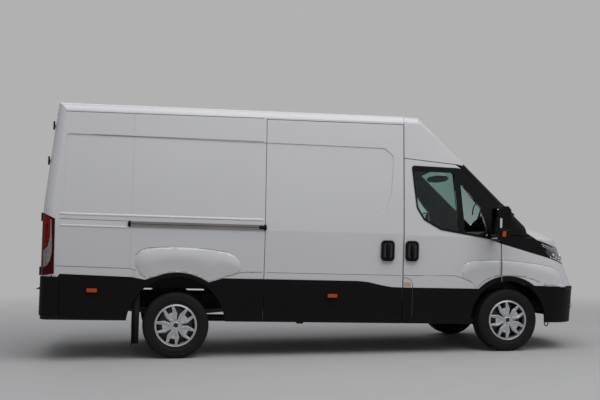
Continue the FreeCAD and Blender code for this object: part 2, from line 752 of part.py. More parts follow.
glass_shell = cut("glass_shell", cab_glass, cab_glass_back)
strip_cab_zone = side_region("strip_cab_zone", [
    (front + door_gap, 690), (3140, 690), (3060, 770), (2860, 832), (front + door_gap, 842)],
    [(60, (3,))])
band_zone = side_region("band_cab_zone", [
    (front + door_gap, s.slide_bottom), (s.cab_door_front, s.slide_bottom),
    (s.cab_door_front, s.cladding_front_top), (front + door_gap, s.cladding_front_top)])
arch_left_of_seam = common("ring_rear_half", front_arch_edge, side_region("ring_rear_zone", [
    (3000, s.slide_bottom), (s.cab_door_front, s.slide_bottom), (s.cab_door_front, 900),
    (3000, 900)]))
band_area = fuse("band_cab_area", band_zone, arch_left_of_seam)
cab_strip = cut("cab_door_strip", common("cab_door_swage", cab_relief, strip_cab_zone), band_area)
door_wall = cut("cab_door_wall", fuse("cab_door_raised", common("cab_door_skin", cab_leaf, door_zone),
                cab_strip), main_hole, quarter_hole, front_arch)
cab_glass_pair = group("cab_glass_pair", common("main_pane", glass_shell, main_hole),
                       common("quarter_pane", glass_shell, quarter_hole))

# Black trim of the cab door: cladding with its arch ring, window frame, handle and mirror.
band = cut("band_cab", common("band_cab_cover", cab_cover, band_area), front_arch)
frame_zone = side_region("window_frame_zone", [
    (2553, 1417), (2742, 1317), (3313, 1232), (s.cab_door_front, 1195),
    (s.cab_door_front, 1590), on_screen(8, 80), (2960, 1990), (2420, 1990), (2475, 1540)],
    [(30, (7,)), (110, (8,)), (60, (0,))])
frame = cut("window_frame", common("window_frame_cover", cab_relief, frame_zone), main_hole,
            quarter_hole)
handle_outline = [(2352, 980), (2491, 980), (2491, 1193), (2352, 1193)]


def handle(name, outline, skin, outer_y):
    """A rounded black handle with its recess plate, standing on the door's skin."""
    plate = prism(name, "Y", outline, outer_y, FAR, [(42, (0, 1, 2, 3))])
    return cut(name + "_body", plate, skin)


cab_handle = handle("cab_handle", handle_outline, cab_outer, -1024)
mirror_arm = prism("mirror_arm", "Y", [(3290, 1236), (3360, 1236), (3360, 1330), (3290, 1350)],
                   -1090, -930, [(12, (0, 1, 2, 3))])
mirror_head = prism("mirror_head", "Y", [(3262, 1216), (3392, 1216), (3398, 1540), (3366, 1578),
                    (3290, 1578), (3262, 1540)], -1285, -1075, [(25, (0, 1, 2, 3, 4, 5))])
mirror = cut("mirror_mount", fuse("mirror_all", mirror_arm, mirror_head), cab_outer)
trim = group("trim_right", band, frame, cab_handle, mirror)

piece("cab_door_right", door_wall)
piece("cab_door_glass_right", cab_glass_pair)
piece("cab_door_trim_right", trim)
for kind in ("cab_door", "cab_door_glass", "cab_door_trim"):
    other_side(kind + "_left", kind + "_right")


# Nose: bonnet, wings, lamps, grille and bumper.
bonnet_rear = s.cab_front + 6
bonnet_outline = [(bonnet_rear, 1600), (bonnet_rear, 1392), (3850, 1245), (4240, 1136),
                  (4420, 1085), (4800, 1060), (4800, 1600)]
bonnet_zone = prism("bonnet_zone", "Y", bonnet_outline, NEAR, -NEAR)
piece("bonnet", common("bonnet_skin", nose_shell, bonnet_zone))

lamp_top = [(3905, 1224), (4240, 1130), (4420, 1079), (4600, 1040)]
lamp_low = [(4600, 950), (4390, 945), (4295, 968), (4022, 1046)]
headlamp_zone = prism("headlamp_zone", "Y", lamp_top[::-1] + [(3905, 1180)] + lamp_low[::-1],
                      NEAR, -s.grille_half_width)
headlamp = common("headlamp", nose_shell, headlamp_zone)
piece("headlamps", both_sides("headlamp_pair", headlamp))

wing_zone = prism("wing_zone", "Y", [
    (s.nose_start, s.bumper_top + gap), (4800, s.bumper_top + gap), (4800, 944), (4390, 939),
    (4290, 962), (4020, 1040), (s.nose_start, 1187)], NEAR, -s.grille_half_width)
wing = cut("wing", common("wing_skin", nose_shell, wing_zone), front_arch)
piece("front_wings", both_sides("wing_pair", wing))

cowl_zone = prism("cowl_zone", "Y", [
    (s.nose_start, 1193), (4018, 1046), (3899, 1180), (3899, 1226), (3846, 1240),
    (3760, 1388), (3760, 1600), (s.nose_start, 1600)], NEAR, -NEAR)
cowl_clear = common("cowl_clear", doc.getObject("cab_outer_screen"), block(
    "cowl_middle", (3000, 3900), (-880, 880), (900, 1700)))
cowl_sides = cut("cowl_panel", common("cowl_skin", nose_shell, cowl_zone), cowl_clear)

bumper_zone = prism("bumper_zone", "Y", [
    (s.nose_start + 60, s.nose_base), (4800, s.nose_base), (4800, s.bumper_top),
    (s.nose_start + 60, s.bumper_top)], NEAR, -NEAR)
bumper_wall = cut("bumper_wall", nose_proud, nose_inner)
front_arch_left = mirrored("front_arch_left", front_arch)
bumper = cut("bumper_body", common("bumper_band", bumper_wall, bumper_zone), front_arch,
             front_arch_left)
piece("front_bumper", bumper)

grille_zone = block("grille_zone", (4100, 4800), (-s.grille_half_width + 4,
                    s.grille_half_width - 4), (s.bumper_top + gap, 1058))
grille_slots = [block("grille_slot_%d" % n, (4000, 4800), (-s.grille_half_width + 30,
                      s.grille_half_width - 30), (z, z + 34))
                for n, z in enumerate(range(780, 1010, 50))]
piece("grille", cut("grille_bars", common("grille_skin", nose_shell, grille_zone), *grille_slots))

# Cab shell: pillars, door frames, floor and firewall.
whole_cab = block("whole_cab", (front + 3, s.cab_front), (NEAR, -NEAR), (s.slide_bottom, s.tall))
door_hole_left = mirrored("door_hole_left", door_hole)
cap_tool = prism("cap_tool", "Y", [
    (front, cap_rear_height - near), (2944, s.cab_door_top - 14 - near), on_screen(2, 40),
    on_screen(2, -420), (3400, s.tall), (front, s.tall)], NEAR, -NEAR)
screen_edge = s.screen_half_width + 2
screen_tool = prism("screen_tool", "X", [
    (-screen_edge, -260), (screen_edge, -260), (screen_edge, 300), (-screen_edge, 300)],
    3, s.screen_length + 60)
flange = s.screen_flange
screen_opening = prism("screen_opening", "X", [
    (flange - screen_edge, -260), (screen_edge - flange, -260), (screen_edge - flange, 300),
    (flange - screen_edge, 300)], flange, s.screen_length + 60)
for tool in (screen_tool, screen_opening):
    tool.Placement = screen_zone.Placement
pillars = cut("pillars", common("cab_rest", cab_shell, whole_cab), cap_tool,
              common("screen_rebate", screen_skin, screen_tool), screen_opening, door_hole,
              door_hole_left, nose_proud)
cowl_strip = cut("cowl_strip", common("cowl_bar", cab_under_glass, block(
    "cowl_strip_zone", (s.cab_front - 21, s.cab_front - s.seat_gap),
    (-s.screen_half_width, s.screen_half_width), (1240, 1600))), pillars)
piece("cowl", group("cowl_all", cowl_sides, cowl_strip))
door_ring_outline = [
    (front + 3, 560), (s.cab_door_front + 40, 560), (s.cab_door_front + 40, 1560),
    on_screen(20, 54), (2950, s.cab_door_top), (front + 3, s.cab_door_top + 34)]
door_clear_outline = [
    (front + 76, 660), (3120, 660), (3120, 820), (s.cab_door_front - 60, 1000),
    (s.cab_door_front - 60, 1510), (2985, 1940), (front + 76, 1990)]
ring_out = side_region("cab_ring_zone", door_ring_outline)
ring_in = side_region("cab_ring_clear", door_clear_outline, [(50, (0, 4, 5, 6))])
arch_clear = rod("arch_clear", "Y", (s.wheelbase, s.front_arch_height),
                 s.front_arch_radius - s.arch_ring_width + 14, NEAR, -520)
hinge_clear = rod("hinge_clear", "Z", (s.cab_hinge_x, -s.cab_hinge_y), 92, 400, 1700)
# The door's front end swings inwards as it opens, so the frame stands deeper behind it.
swing_room = side_region("swing_room", [
    (3200, 1080), (s.cab_door_front + 60, 1080), (s.cab_door_front + 60, 1800), (3020, 1990),
    (2990, 1940)])
cab_door_frame = cut("cab_door_frame", common("cab_frame_band", cab_ring, ring_out), ring_in,
                     arch_clear, hinge_clear, cap_tool,
                     common("swing_slab", cut("swing_skin", cab_seal, cab_swing), swing_room))
cab_floor_top = s.cab_floor_height + s.floor_plate
arch_clear_left = mirrored("arch_clear_left", arch_clear)
cab_floor = cut("cab_floor", block("cab_floor_plate", (front + 4, 3424), (
    -s.floor_half_width, s.floor_half_width), (s.cab_floor_height, cab_floor_top)),
    arch_clear, arch_clear_left)
firewall = cut("firewall", common("firewall_slab", cab_frame, block(
    "firewall_block", (3404, 3424), (-1000, 1000), (s.rail_top + s.seat_gap, 1300))), arch_clear,
    arch_clear_left)
driver_y = 430
SEATS = [
    ("driver", driver_y - 245, driver_y + 245),
    ("passenger", -driver_y - 310, -driver_y + 310),
]
seat_base_top = cab_floor_top + 230
seat_bases = [block("seat_base_" + name, (2520, 2960), (y_low + 40, y_high - 40),
                    (cab_floor_top - 2, seat_base_top)) for name, y_low, y_high in SEATS]
piece("cab_shell", fuse("cab_structure", pillars, cab_door_frame,
                        mirrored("cab_door_frame_left", cab_door_frame), cab_floor, firewall, *seat_bases))

# Black lower body: cladding, arch rings, mudflaps and the sliding door's handle.
band_rear = cut("band_rear", common("band_rear_cover", load_cover, clad_rear), rear_arch)
slide_band = common("slide_band", load_cover, slide_band_zone)
slide_handle = handle("slide_handle", [(2088, 976), (2229, 976), (2229, 1192), (2088, 1192)],
                      load_outer, -1026)
left_band = common("left_band", load_cover, slide_band_zone)
wing_ring = cut("wing_ring", common("wing_ring_cover", nose_cover, common(
    "wing_ring_disc", front_arch_edge, side_region("wing_ring_zone", [
        (s.nose_start, s.bumper_top + gap), (4300, s.bumper_top + gap), (4300, 1000),
        (s.nose_start, 1000)]))), front_arch)
flap = common("mudflap", block("flap_sheet", (-436, -424), (-965, -745), (86, 600)), rod(
    "flap_arch", "Y", (0, s.rear_arch_height),
    s.rear_arch_radius - s.arch_ring_width - s.seat_gap, NEAR, FAR))
liner_radius = s.front_arch_radius - s.arch_ring_width + 14 - s.seat_gap
liner_outer = rod("liner_outer", "Y", (s.wheelbase, s.front_arch_height), liner_radius,
                  -872, -530)
liner_inner = rod("liner_inner", "Y", (s.wheelbase, s.front_arch_height), liner_radius - 6,
                  -880, -520)
liner_rest = block("liner_rest", (s.wheelbase - 600, s.wheelbase + 600), (-900, -500),
                   (-300, s.rail_top + 20))
liner = cut("front_liner", liner_outer, liner_inner, liner_rest)
cladding = group("cladding", slide_band, mirrored("left_band_far", left_band), slide_handle,
                 both_sides("band_pair", band_rear), both_sides("wing_ring_pair", wing_ring),
                 both_sides("flap_pair", flap), both_sides("liner_pair", liner))
piece("body_cladding", cladding)

rail = cut("rail_body", prism("rail", "Y", [(-492, 1262), (866, 1262), (866, 1312),
           (-492, 1312)], -1018, -960), load_outer)
piece("sliding_door_rail", rail)

# Rear bumper with a step, low behind the doors and higher beside the body's corners.
def bumper_plan(inset):
    """The rear bumper's outline seen from above, drawn in by an inset."""
    back = inset - s.step_rear + 54
    return [(-1148, -1012 + inset), (-1148, 1012 - inset), (-1236, 1011 - inset, 118),
            (back, 886, s.step_bow_radius), (back, -886, 118), (-1236, inset - 1011)]


step_top = s.rear_door_bottom - s.panel_gap * 2
bumper_solid = prism("rear_bumper_solid", "Z", bumper_plan(size(0)), 372, 752)
bumper_hollow = prism("rear_bumper_hollow", "Z", bumper_plan(size(12)), 300, step_top - 14)
bumper_notch = block("rear_bumper_notch", (-1600, -1000), (-door_edge, door_edge), (step_top, 900))
swing_notch = block("rear_bumper_swing", (-1600, -s.rear_face - 18), (-1100, 1100),
                    (step_top, 900))
piece("rear_bumper", cut("rear_bumper_body", bumper_solid, bumper_hollow, bumper_notch,
                         swing_notch, load_swage))

# Side marker lamps: X and Z of the rear end of each, right side.
MARKERS = [(-884, 600), (1524, 584)]
markers = [prism("marker_%d" % n, "Y", [(x, z), (x + 112, z), (x + 112, z + 52), (x, z + 52)],
                 -1020, -960, [(14, (0, 1, 2, 3))]) for n, (x, z) in enumerate(MARKERS)]
marker_set = group("marker_set", *[cut("marker_body_%d" % n, m, load_proud)
                                   for n, m in enumerate(markers)])
piece("rear_and_side_lamps", group("lamp_set", both_sides("lamps", lamp),
                                   both_sides("marker_pair", marker_set)))

# Chassis frame: two rails joined by cross tubes.
rail_side = prism("frame_rail", "Y", [
    (-1240, s.rail_bottom + 70), (-900, s.rail_bottom), (3700, s.rail_bottom),
    (4260, s.rail_bottom + 30), (4260, s.rail_top), (-1240, s.rail_top)],
    -s.rail_half_gauge - s.rail_width * 0.5, -s.rail_half_gauge + s.rail_width * 0.5)
CROSS_TUBES = [-1150, -640, 640, 1500, 2300, 3060, 4180]
cross_tubes = [rod("cross_tube_%d" % n, "Y", (x, (s.rail_bottom + s.rail_top) * 0.5), 32,
                   -s.rail_half_gauge, s.rail_half_gauge) for n, x in enumerate(CROSS_TUBES)]
# Outriggers: X and the underside of the floor that each carries.
OUTRIGGERS = [
    (-900, s.floor_height),
    (900, s.floor_height),
    (1700, s.floor_height),
    (2500, s.cab_floor_height),
    (3060, s.cab_floor_height),
]
outrigger_end = s.floor_half_width - 30
outriggers = [block("outrigger_%d" % n, (x - 25, x + 25), (-outrigger_end, outrigger_end),
                    (s.rail_top - 6, under - s.seat_gap))
              for n, (x, under) in enumerate(OUTRIGGERS)]
bumper_beam = block("bumper_beam", (4250, 4300), (-560, 560), (s.rail_bottom + 10, s.rail_top))

# Front carrier: a band behind the nose's skin with posts, bonnet stops and bumper arms.
carrier_start = s.cab_door_front + 40 + s.seat_gap
carrier_zone = prism("carrier_zone", "Y", [
    (carrier_start, 850), (4600, 850), (4600, 1010), (4300, 1010), (3900, 1120),
    (carrier_start, 1120)], NEAR, -NEAR)
carrier_band = common("carrier_band", cut("carrier_ring", nose_seat, nose_carrier), carrier_zone)
carrier_parts = [
    ("post", (4250, 4400), (-440, -370), (s.rail_bottom + 20, 1005)),
    ("bonnet_stop", (4230, 4400), (-280, -240), (900, 1400)),
    ("bumper_arm", (4290, 4600), (-440, -370), (440, 560)),
]
carrier_arms = common("carrier_arms", nose_seat, fuse("carrier_blocks", *[
    block("carrier_" + part_name, *spans) for part_name, *spans in carrier_parts]))
rear_beam = common("rear_beam", prism("rear_beam_plan", "Z", bumper_plan(size(12) + s.seat_gap),
                   500, 560), block("rear_beam_zone", (-1500, -1200), (-560, 560), (500, 560)))
piece("chassis_frame", fuse(
    "frame_all", rail_side, mirrored("frame_rail_left", rail_side), bumper_beam, carrier_band,
    carrier_arms, mirrored("carrier_arms_left", carrier_arms), rear_beam,
    *(cross_tubes + outriggers)))

# A towing socket hangs from the bumper beam, just below the bumper's edge.
tow_y = -330
tow_z = 330
tow_tube = rod("tow_tube", "X", (tow_y, tow_z), s.tow_socket_radius * 2, 4240, 4290)
tow_hanger = block("tow_hanger", (4255, 4285), (tow_y - 12, tow_y + 12),
                   (tow_z, s.rail_bottom + 10 - s.seat_gap))
piece("tow_socket", cut("tow_socket_body", fuse("tow_socket_blank", tow_tube, tow_hanger),
                        rod("tow_thread", "X", (tow_y, tow_z), s.tow_socket_radius, 4230, 4300)))

# Rear axle with its half shafts' tube, final drive, leaf springs and propeller shaft.
axle_spot = RAKE.inverse().multVec(Vector(0, 0, s.tyre_radius.value))
rear_x, rear_z = size(axle_spot.x), size(axle_spot.z)
half = s.wheel_track * 0.5
axle_end = half + 44 - s.seat_gap
spring_y = s.rail_half_gauge + 130
axle_tube = rod("axle_tube", "Y", (rear_x, rear_z), s.axle_tube_radius, -axle_end, axle_end)
drums = [rod("brake_drum_right", "Y", (rear_x, rear_z), 140, -half - 14, 40 - half),
         rod("brake_drum_left", "Y", (rear_x, rear_z), 140, half - 40, half + 14)]
drive_case = doc.addObject("Part::Sphere", "drive_case")
bind(drive_case, "Radius", s.axle_tube_radius * 3)
bind(drive_case, "Placement.Base.z", rear_z)
nose_case = rod("nose_case", "X", (0, rear_z), 62, 0, 260)
shaft = rod("prop_shaft", "X", (0, rear_z), 38, 250, 2760)
shaft_joint = rod("prop_joint", "X", (0, rear_z), 58, 1400, 1470)
spring = prism("leaf_spring", "Y", [
    (-760, 440), (-700, 415), (0, 345), (700, 415), (760, 440), (740, 460), (0, 385),
    (-740, 460)], -spring_y - 35, -spring_y + 35)
pad = block("spring_pad", (-60, 60), (-spring_y - 45, -spring_y + 45), (rear_z, 352))
HANGERS = [-760, 760]
hangers = [block("spring_hanger_%d" % n, (x - 26, x + 26), (-spring_y - 30,
                 -s.rail_half_gauge - s.rail_width * 0.5 - s.seat_gap), (420, 520))
           for n, x in enumerate(HANGERS)]
spring_side = fuse("spring_side", spring, pad, *hangers)
piece("rear_axle", fuse("axle_all", axle_tube, *drums, drive_case, nose_case, shaft, shaft_joint,
                        spring_side, mirrored("spring_side_left", spring_side)))

# Front suspension: cross beam with lower arms and steering rack, in the body's frame.
front_z = s.front_arch_height
beam = block("front_beam", (s.wheelbase - 70, s.wheelbase + 70), (-440, 440),
             (front_z - 120, s.rail_bottom - 0.3))
arm = prism("lower_arm", "Z", [
    (s.wheelbase - 150, -380), (s.wheelbase - 45, -s.kingpin_half_track - 2),
    (s.wheelbase + 45, -s.kingpin_half_track - 2), (s.wheelbase + 150, -380)],
    front_z - 128, front_z - 98, [(30, (1, 2))])
rack = rod("steering_rack", "Y", (s.wheelbase - 130, front_z - 40), 26, -380, 380)
rack_bracket = block("rack_bracket", (s.wheelbase - 140, s.wheelbase - 60), (-300, 300),
                     (front_z - 70, front_z - 20))
piece("front_suspension", fuse("suspension_all", beam, arm, mirrored("lower_arm_left", arm),
                               rack, rack_bracket))

# Wheels. Each is drawn about its own centre with its outer face towards -Y.
rim_r = s.rim_radius
tyre_half = s.tyre_width * 0.5


def tyre(name):
    """A tyre's cross section turned about its axle."""
    wide = tyre_half - 3
    return turned(name, [
        (rim_r + s.seat_gap, 27 - tyre_half), (rim_r + 10, 27 - tyre_half), (rim_r + 48, -wide),
        (s.tyre_radius - 28, 4 - wide), (s.tyre_radius, 28 - wide),
        (s.tyre_radius, wide - 28), (s.tyre_radius - 28, wide - 4),
        (rim_r + 48, wide), (rim_r + s.seat_gap, tyre_half - 24)])


hub_face = 44


def rim(name):
    """Steel rim, dished disc and hub face; its hollow side looks inwards, to +Y."""
    bed = rim_r - 22
    return turned(name, [
        (rim_r, -90), (rim_r, -78), (bed, -66), (bed, 60), (rim_r, 74), (rim_r, 90),
        (rim_r - 7, 90), (bed - 6, 68), (bed - 6, -22), (150, -28), (90, -hub_face),
        (28, -hub_face), (28, -hub_face - 8), (84, -hub_face - 8), (146, -36), (bed - 6, -32),
        (bed - 6, -72), (rim_r - 7, -90)])


def polar(radius, angle):
    """A point of the hubcap's face."""
    return (size(radius) * math.cos(math.radians(angle)),
            size(radius) * math.sin(math.radians(angle)))


# The hubcap's openings: radius and half angle of each pair of corners, from the outer end in.
PETALS = 5
PETAL_ANGLE = 180
WINDOW = [(193, 10.5), (104, 9)]
GAP = [(193, 18.2), (122, 6.8), (60, 3.5)]


def ring_of_holes(cap, name, corners, middle):
    """One hole through the cap about the angle middle, repeated once for each petal."""
    outer, half_angle = corners[0]
    inner, inner_half = corners[-1]
    nose = inner * math.sin(math.radians(inner_half)) * 1.1
    outline = [polar(outer, middle - half_angle) + (size(outer),)]
    outline += [polar(radius, middle + turn) for radius, turn in corners[:-1]]
    outline += [polar(inner, middle + inner_half) + (size(nose),)]
    outline += [polar(radius, middle - turn) for radius, turn in corners[:0:-1]]
    sketch = outline_sketch(cap, name + "_outline", "Y", outline, 0)
    hole = cap.newObject("PartDesign::Pocket", name)
    hole.Profile = sketch
    hole.Type = "ThroughAll"
    hole.Midplane = True
    pattern = cap.newObject("PartDesign::PolarPattern", name + "_ring")
    pattern.Originals = [hole]
    pattern.Axis = (sketch, ["N_Axis"])
    pattern.Angle = 360
    pattern.Occurrences = PETALS
    cap.Tip = pattern


def hubcap(name):
    """A domed cap with five twin-pronged petals: a window in each and a gap between two."""
    edge = s.hubcap_radius
    cap = turned(name, [
        (0, -88), (30, -88), (34, -97), (64, -100), (150, -101), (edge - 14, -98), (edge, -91),
        (edge, -87), (edge - 16, -92), (150, -95), (64, -94), (40, -91), (34, -82), (0, -82)])
    ring_of_holes(cap, name + "_window", WINDOW, PETAL_ANGLE)
    ring_of_holes(cap, name + "_gap", GAP, PETAL_ANGLE + 180 / PETALS)
    return cap


def wheel(name):
    """Rim and hubcap, held together by a clip ring."""
    clip = turned(name + "_clip", [(192, -94), (203, -94), (203, -84), (192, -84)])
    return fuse(name, rim(name + "_rim"), hubcap(name + "_cap"), clip)


# Wheel corners: X, side and how far the hubcap is turned, seen from outside on the right.
CORNERS = [
    ("front_right", s.wheelbase, -1, 0),
    ("front_left", s.wheelbase, 1, 0),
    ("rear_right", size(0), -1, 5),
    ("rear_left", size(0), 1, 5),
]
tyre_source = tyre("tyre_source")
wheel_source = wheel("wheel_source")
for corner, x, side, turn in CORNERS:
    spot = Placement(Vector(x.value, side * s.wheel_track.value / 2, s.tyre_radius.value),
                     Rotation() if side < 0 else Rotation(Vector(0, 0, 1), 180))
    spin = Placement(Vector(), Rotation(Vector(0, 1, 0), -turn))
    piece("tyre_" + corner, group("tyre_at_" + corner, tyre_source), GROUND.multiply(spot))
    piece("wheel_" + corner, group("wheel_at_" + corner, wheel_source),
          GROUND.multiply(spot).multiply(spin))


# Steering knuckles: upright, hub and brake disc, standing on the lower arm's ball joint.
# Drawn in the ground frame about the kingpin's foot, right side first.
ARM_TOP = front_z.value - 98
arm_end = RAKE.multVec(Vector(s.wheelbase.value, -s.kingpin_half_track.value, ARM_TOP))


def knuckle(name):
    low = size(arm_end.z + 0.8)
    centre = s.tyre_radius
    post = rod(name + "_ball", "Z", (s.wheelbase, -s.kingpin_half_track), 18, low, centre + 60)
    upright = block(name + "_upright", (s.wheelbase - 34, s.wheelbase + 34),
                    (-s.kingpin_half_track - 26, -s.kingpin_half_track + 20),
                    (low + 14, centre + 86))
    hub = rod(name + "_hub", "Y", (s.wheelbase, centre), s.hub_half_width,
              -half - hub_face + s.seat_gap, -s.kingpin_half_track)
    disc = rod(name + "_disc", "Y", (s.wheelbase, centre), 148, -half - 8, -half + 18)
    return fuse(name, post, upright, hub, disc)


right_knuckle = knuckle("knuckle_source")
piece("knuckle_right", right_knuckle, GROUND)
other_side("knuckle_left", "knuckle_right")

# Below the floor: engine, exhaust and fuel tank.
rail_inner = s.rail_half_gauge - s.rail_width * 0.5 - s.seat_gap
piece("engine_block", fuse("engine", block("engine_solid", (3570, 4090), (-260, 260),
                                           (s.rail_bottom, 1040)),
                           block("engine_mount", (3780, 3860), (-rail_inner, rail_inner),
                                 (470, 530))))
pipe_y = 250
pipe = rod("exhaust_pipe", "X", (pipe_y, 372), 27, -900, 3080)
muffler = rod("muffler", "X", (pipe_y, 352), 80, 1560, 2140)
pipe_hangers = [rod("pipe_hanger_%d" % n, "Z", (x, pipe_y), 8, 372,
                    (s.rail_bottom + s.rail_top) * 0.5 - 32 - s.seat_gap) for n, x in enumerate(
                        [CROSS_TUBES[1], CROSS_TUBES[3], CROSS_TUBES[5]])]
piece("exhaust", fuse("exhaust_all", pipe, muffler, *pipe_hangers))
rail_outer = s.rail_half_gauge + s.rail_width * 0.5 + s.seat_gap
piece("fuel_tank", prism("tank", "X", [
    (rail_outer, 352), (rail_outer + 390, 352), (rail_outer + 390, s.rail_top - 12),
    (rail_outer, s.rail_top - 12)], 1010, 1640, [(50, (0, 1))]))

# Cab interior: dashboard, steering wheel and seats.
dash_zone = prism("dash_zone", "Y", [
    (3040, 1010), (3180, 900), (3404 - near, 900), (3404 - near, 1290), (3330, 1320), (3070, 1235)],
    -900, 900, [(40, (0, 4, 5))])
dash = common("dash", cab_frame, dash_zone)
wheel_centre = Vector(2900, driver_y, 1195)
column_turn = Rotation(Vector(0, 1, 0), -42)
hoop = doc.addObject("Part::Torus", "steering_hoop")
bind(hoop, "Radius1", s.steering_wheel_radius)
bind(hoop, "Radius2", 14)
spoke = block("steering_spoke", (-18, 18), (-s.steering_wheel_radius + 4,
              s.steering_wheel_radius - 4), (-8, 6))
boss = rod("steering_boss", "Z", (0, 0), 62, -22, 14)
column = rod("steering_column", "Z", (0, 0), 26, -300, 0)
steering = fuse("steering", hoop, spoke, boss, column)
steering.Placement = Placement(wheel_centre, column_turn)
piece("dashboard", fuse("dash_all", dash, steering))


def seat(name, y_low, y_high):
    """A seat's cushion, back and head restraint as one plain soft solid."""
    base_z = seat_base_top + s.seat_gap
    cushion = prism(name + "_cushion", "Y", [
        (2500, base_z), (3010, base_z + 10), (3030, base_z + 130), (2560, base_z + 90)],
        y_low, y_high, [(45, (2,))])
    back = prism(name + "_back", "Y", [
        (2452, base_z), (2560, base_z), (2560, base_z + 90), (2470, base_z + 700),
        (2392, base_z + 700)], y_low, y_high, [(35, (3, 4))])
    middle = (y_low + y_high) / 2
    rest = prism(name + "_rest", "Y", [
        (2385, base_z + 690), (2470, base_z + 690), (2455, base_z + 880), (2385, base_z + 880)],
        middle - 130, middle + 130, [(30, (0, 1, 2, 3))])
    return fuse(name, cushion, back, rest)


piece("seats", group("seat_set", *[seat("seat_" + name, y_low, y_high)
                                   for name, y_low, y_high in SEATS]))


doc.recompute()
faulty = [obj.Name for obj in doc.Objects if "Invalid" in obj.State or "Error" in obj.State]
if faulty:
    raise RuntimeError("not recomputed: " + ", ".join(faulty))
os.makedirs("parts", exist_ok=True)
for label, obj in pieces.items():
    if obj.Shape.isNull() or not obj.Shape.isValid():
        raise RuntimeError("bad shape: " + label)
    obj.Shape.exportStep("parts/%s.step" % label)
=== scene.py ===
import functools
import json
import math

import bpy
import bmesh
from mathutils import Matrix, Vector
from mathutils.bvhtree import BVHTree


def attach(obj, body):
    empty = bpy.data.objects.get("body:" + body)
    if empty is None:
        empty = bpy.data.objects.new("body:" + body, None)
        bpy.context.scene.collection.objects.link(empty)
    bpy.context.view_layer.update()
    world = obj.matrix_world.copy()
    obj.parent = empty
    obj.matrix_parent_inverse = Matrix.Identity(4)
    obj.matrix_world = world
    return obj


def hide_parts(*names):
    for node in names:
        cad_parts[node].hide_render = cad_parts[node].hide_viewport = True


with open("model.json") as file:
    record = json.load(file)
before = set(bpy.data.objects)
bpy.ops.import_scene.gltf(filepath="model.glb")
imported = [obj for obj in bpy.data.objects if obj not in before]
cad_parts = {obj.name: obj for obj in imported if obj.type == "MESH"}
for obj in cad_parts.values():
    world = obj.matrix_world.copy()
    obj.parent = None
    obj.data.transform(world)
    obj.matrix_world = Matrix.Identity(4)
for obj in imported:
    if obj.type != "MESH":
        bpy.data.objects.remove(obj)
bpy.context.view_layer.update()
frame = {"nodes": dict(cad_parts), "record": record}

# The look of a white panel van: materials on the solids, and the small things on top of them.
# The body is drawn level, in millimetres. RAKE turns it nose down about the pivot, and MIDDLE_X
# moves it so that the row's origin is under its middle.

RAKE = math.radians(1.46)
PIVOT_X, PIVOT_Z, MIDDLE_X = 1.760, 0.325, 1.5575


def at(x, y, z):
    """A point of the body's level frame, in millimetres, as the row's metres."""
    dx, dz = x / 1000 - PIVOT_X, z / 1000 - PIVOT_Z
    return Vector((PIVOT_X + dx * math.cos(RAKE) + dz * math.sin(RAKE) - MIDDLE_X, y / 1000,
                   PIVOT_Z - dx * math.sin(RAKE) + dz * math.cos(RAKE)))


def along(x, y, z):
    """A direction of the body's level frame."""
    return (at(x * 1000, y * 1000, z * 1000) - at(0, 0, 0)).normalized()


# Materials.

def tree_of(material):
    material.use_nodes = True
    return material.node_tree, material.node_tree.nodes["Principled BSDF"]


def fill(node, inputs):
    """Gives each input its value, or joins it to the output that is given for it."""
    for name, value in inputs.items():
        if isinstance(value, bpy.types.NodeSocket):
            node.id_data.links.new(value, node.inputs[name])
        else:
            node.inputs[name].default_value = value


def wire(tree, kind, out, inputs, **settings):
    """The named output of a new shader node."""
    node = tree.nodes.new("ShaderNode" + kind)
    for name, value in settings.items():
        setattr(node, name, value)
    fill(node, inputs)
    return node.outputs[out]


DUST = (0.20, 0.17, 0.14, 1)


def surface(name, colour, rough, metal=0.0, coat=0.0, vary=0.06, vary_scale=4.0, grain=0.0,
            grain_scale=300.0, rough_vary=0.08, dust=0.0, dust_top=0.9, sheen=0.0, spec=0.5):
    """A procedural finish: uneven colour and roughness, fine grain, dust low on the body."""
    material = bpy.data.materials.new(name)
    tree, shader = tree_of(material)
    place = wire(tree, "TexCoord", "Object", {})
    cloud = wire(tree, "TexNoise", "Fac", {"Vector": place, "Scale": vary_scale, "Detail": 6.0})
    base = wire(tree, "ValToRGB", "Color", {"Fac": cloud})
    stops = base.node.color_ramp.elements
    for stop, position, share in zip(stops, (0.3, 0.7), (1 - vary, 1 + vary)):
        stop.position = position
        stop.color = (*(min(1.0, c * share) for c in colour), 1)
    if dust:
        height = wire(tree, "SeparateXYZ", "Z", {"Vector": place})
        film = wire(tree, "MapRange", "Result", {"Value": height, "From Min": 0.25,
                                                 "From Max": dust_top, "To Min": dust,
                                                 "To Max": 0.0})
        speck = wire(tree, "Math", "Value", {0: film, 1: cloud}, operation="MULTIPLY")
        base = wire(tree, "Mix", "Result", {"Factor": speck, "A": base, "B": DUST},
                    data_type="RGBA")
    spread = wire(tree, "MapRange", "Result", {"Value": cloud,
                                               "To Min": max(0.02, rough - rough_vary),
                                               "To Max": min(1.0, rough + rough_vary)})
    fill(shader, {"Base Color": base, "Roughness": spread, "Metallic": metal,
                  "Coat Weight": coat, "Coat Roughness": 0.06, "Sheen Weight": sheen,
                  "Specular IOR Level": spec})
    if grain:
        fine = wire(tree, "TexNoise", "Fac", {"Vector": place, "Scale": grain_scale,
                                              "Detail": 3.0})
        fill(shader, {"Normal": wire(tree, "Bump", "Normal", {"Height": fine, "Strength": grain,
                                                              "Distance": 0.001})})
    return material


